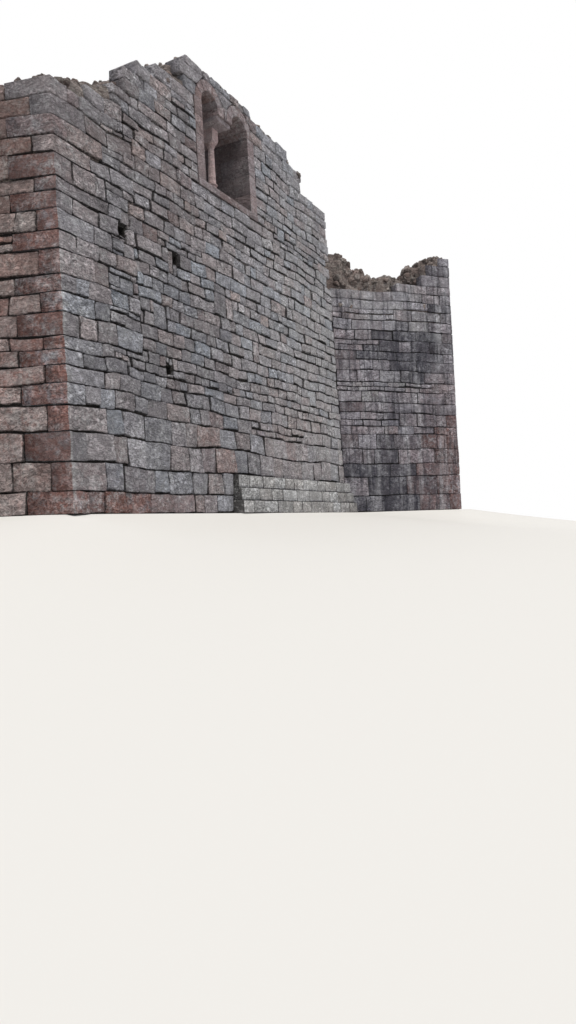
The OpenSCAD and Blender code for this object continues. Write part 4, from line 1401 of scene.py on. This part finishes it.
# One board: its outline pulled up between two levels
def addBoard(made, shape, low, high, tone, mark):
    base, top = ([made.verts.new((p.x, p.y, z)) for p in shape] for z in (low, high))
    made.faces.new(base[::-1])
    made.faces.new(top)
    for a, b, c, d in zip(base, base[1:] + base[:1], top[1:] + top[:1], top):
        made.faces.new((a, b, c, d))
    for q in base + top:
        q[tone] = mark


def layBoards(name, outline, along, v, rng, node):
    made = bmesh.new()
    tone = made.verts.layers.float.new("tone")
    across = Vector((-along.y, along.x))
    us, rows = [p.dot(along) for p in outline], [p.dot(across) for p in outline]
    row, low = min(rows), keep["floorTop"] - keep["boardT"]
    while row < max(rows):
        u, nextRow = min(us) - rng.uniform(0, v["least"]), row + v["width"]
        while u < max(us):
            step = rng.uniform(v["least"], v["most"])
            far, side = u + step - v["gap"], nextRow - v["gap"]
            shape = clipped([along * a + across * b for a, b in (
                (u, row), (far, row), (far, side), (u, side))], outline)
            if shape:
                high = keep["floorTop"] - rng.uniform(0, v["stray"])
                addBoard(made, shape, low, high, tone, rng.random())
            u += step
        row = nextRow
    mesh = finishMesh(made, name)
    mesh.materials.append(looks["boards"])
    keepPiece(placeObject(name, mesh), "old_oak", node)
    print(name, len(mesh.polygons), "faces")


# Boards on the beams, in the block along its front and in the tower away from its face
def buildFloors(v):
    rng = random.Random(v["seed"])
    corners = [insetCorner(i, v["gapRound"]) for i in range(len(walls))]
    layBoards("floor_planks", [corners[i] for i in (0, 1, 4, 5, 6)], wallOf["front"]["dir"], v, rng,
              "floor_boards")
    layBoards("tower_floor_planks", corners[1:5], wallOf["towerLeft"]["inward"], v, rng,
              "tower_floor_boards")


buildFloors(flooring)

# Solids that show as they are get their finish only
lowerWalls = [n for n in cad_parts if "wall_lower" in n or n == "rear_wall_over_door"]
finishes = dict(mortar=[n for n in lowerWalls if "tower" not in n],
                pointing=[n for n in lowerWalls if "tower" in n],
                column=["column_bases", "column_shafts", "column_capitals"],
                dressed=["window_imposts"], beams=["floor_beams", "tower_floor_beams"])
for look, names in finishes.items():
    for name in names:
        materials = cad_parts[name].data.materials
        materials.clear()
        materials.append(looks[look])

# Ground from the walls out: level at their foot, falling away to a depth, on rings of points
ground = dict(rim=0.35, fall=0.16, low=-1.9, reach=60.0, rings=26, spokes=96, under=0.002,
              colour="#d9d7d2")


# Distance from the middle to an outline along a ray
def hullReach(outline, centre, ray):
    best = 0.0
    for a, b in zip(outline, outline[1:] + outline[:1]):
        e = b - a
        cross = ray.x * e.y - ray.y * e.x
        if abs(cross) < 1e-6:
            continue
        t = ((a.x - centre.x) * e.y - (a.y - centre.y) * e.x) / cross
        u = ((a.x - centre.x) * ray.y - (a.y - centre.y) * ray.x) / cross
        if t > 0 and -1e-6 <= u <= 1 + 1e-6:
            best = max(best, t)
    return best


def addGround(v):
    outline = [w["start"] for w in walls]
    centre = sum(outline, Vector((0, 0))) / len(outline)
    made = bmesh.new()
    rings = []
    for r in range(v["rings"] + 1):
        out = v["rim"] + (v["reach"] - v["rim"]) * (r / v["rings"]) ** 3
        z = v["low"] * (1 - math.exp((out - v["rim"]) * v["fall"] / v["low"])) - v["under"]
        rings.append([])
        for k in range(v["spokes"]):
            turn = 2 * math.pi * k / v["spokes"]
            ray = Vector((math.cos(turn), math.sin(turn)))
            p = centre + ray * (hullReach(outline, centre, ray) + out)
            rings[-1].append(made.verts.new((p.x, p.y, z)))
    made.faces.new(rings[0])
    for one, two in zip(rings, rings[1:]):
        for a, b, c, d in zip(one, two, two[1:] + two[:1], one[1:] + one[:1]):
            made.faces.new((a, b, c, d))
    mesh = finishMesh(made, "pale ground")
    for p in mesh.polygons:
        p.use_smooth = True
    material = bpy.data.materials.new("pale ground")
    add = partial(addNode, freshTree(material))
    shader = add("ShaderNodeBsdfPrincipled", {"Base Color": colour(v["colour"]), "Roughness": 0.95})
    add("ShaderNodeOutputMaterial", (shader,))
    mesh.materials.append(material)
    placeObject("pale_ground", mesh)


addGround(ground)

total = sum(len(p.vertices) - 2 for o in pieces for p in o.data.polygons)
print("added triangles", total, "in", len(pieces), "pieces")
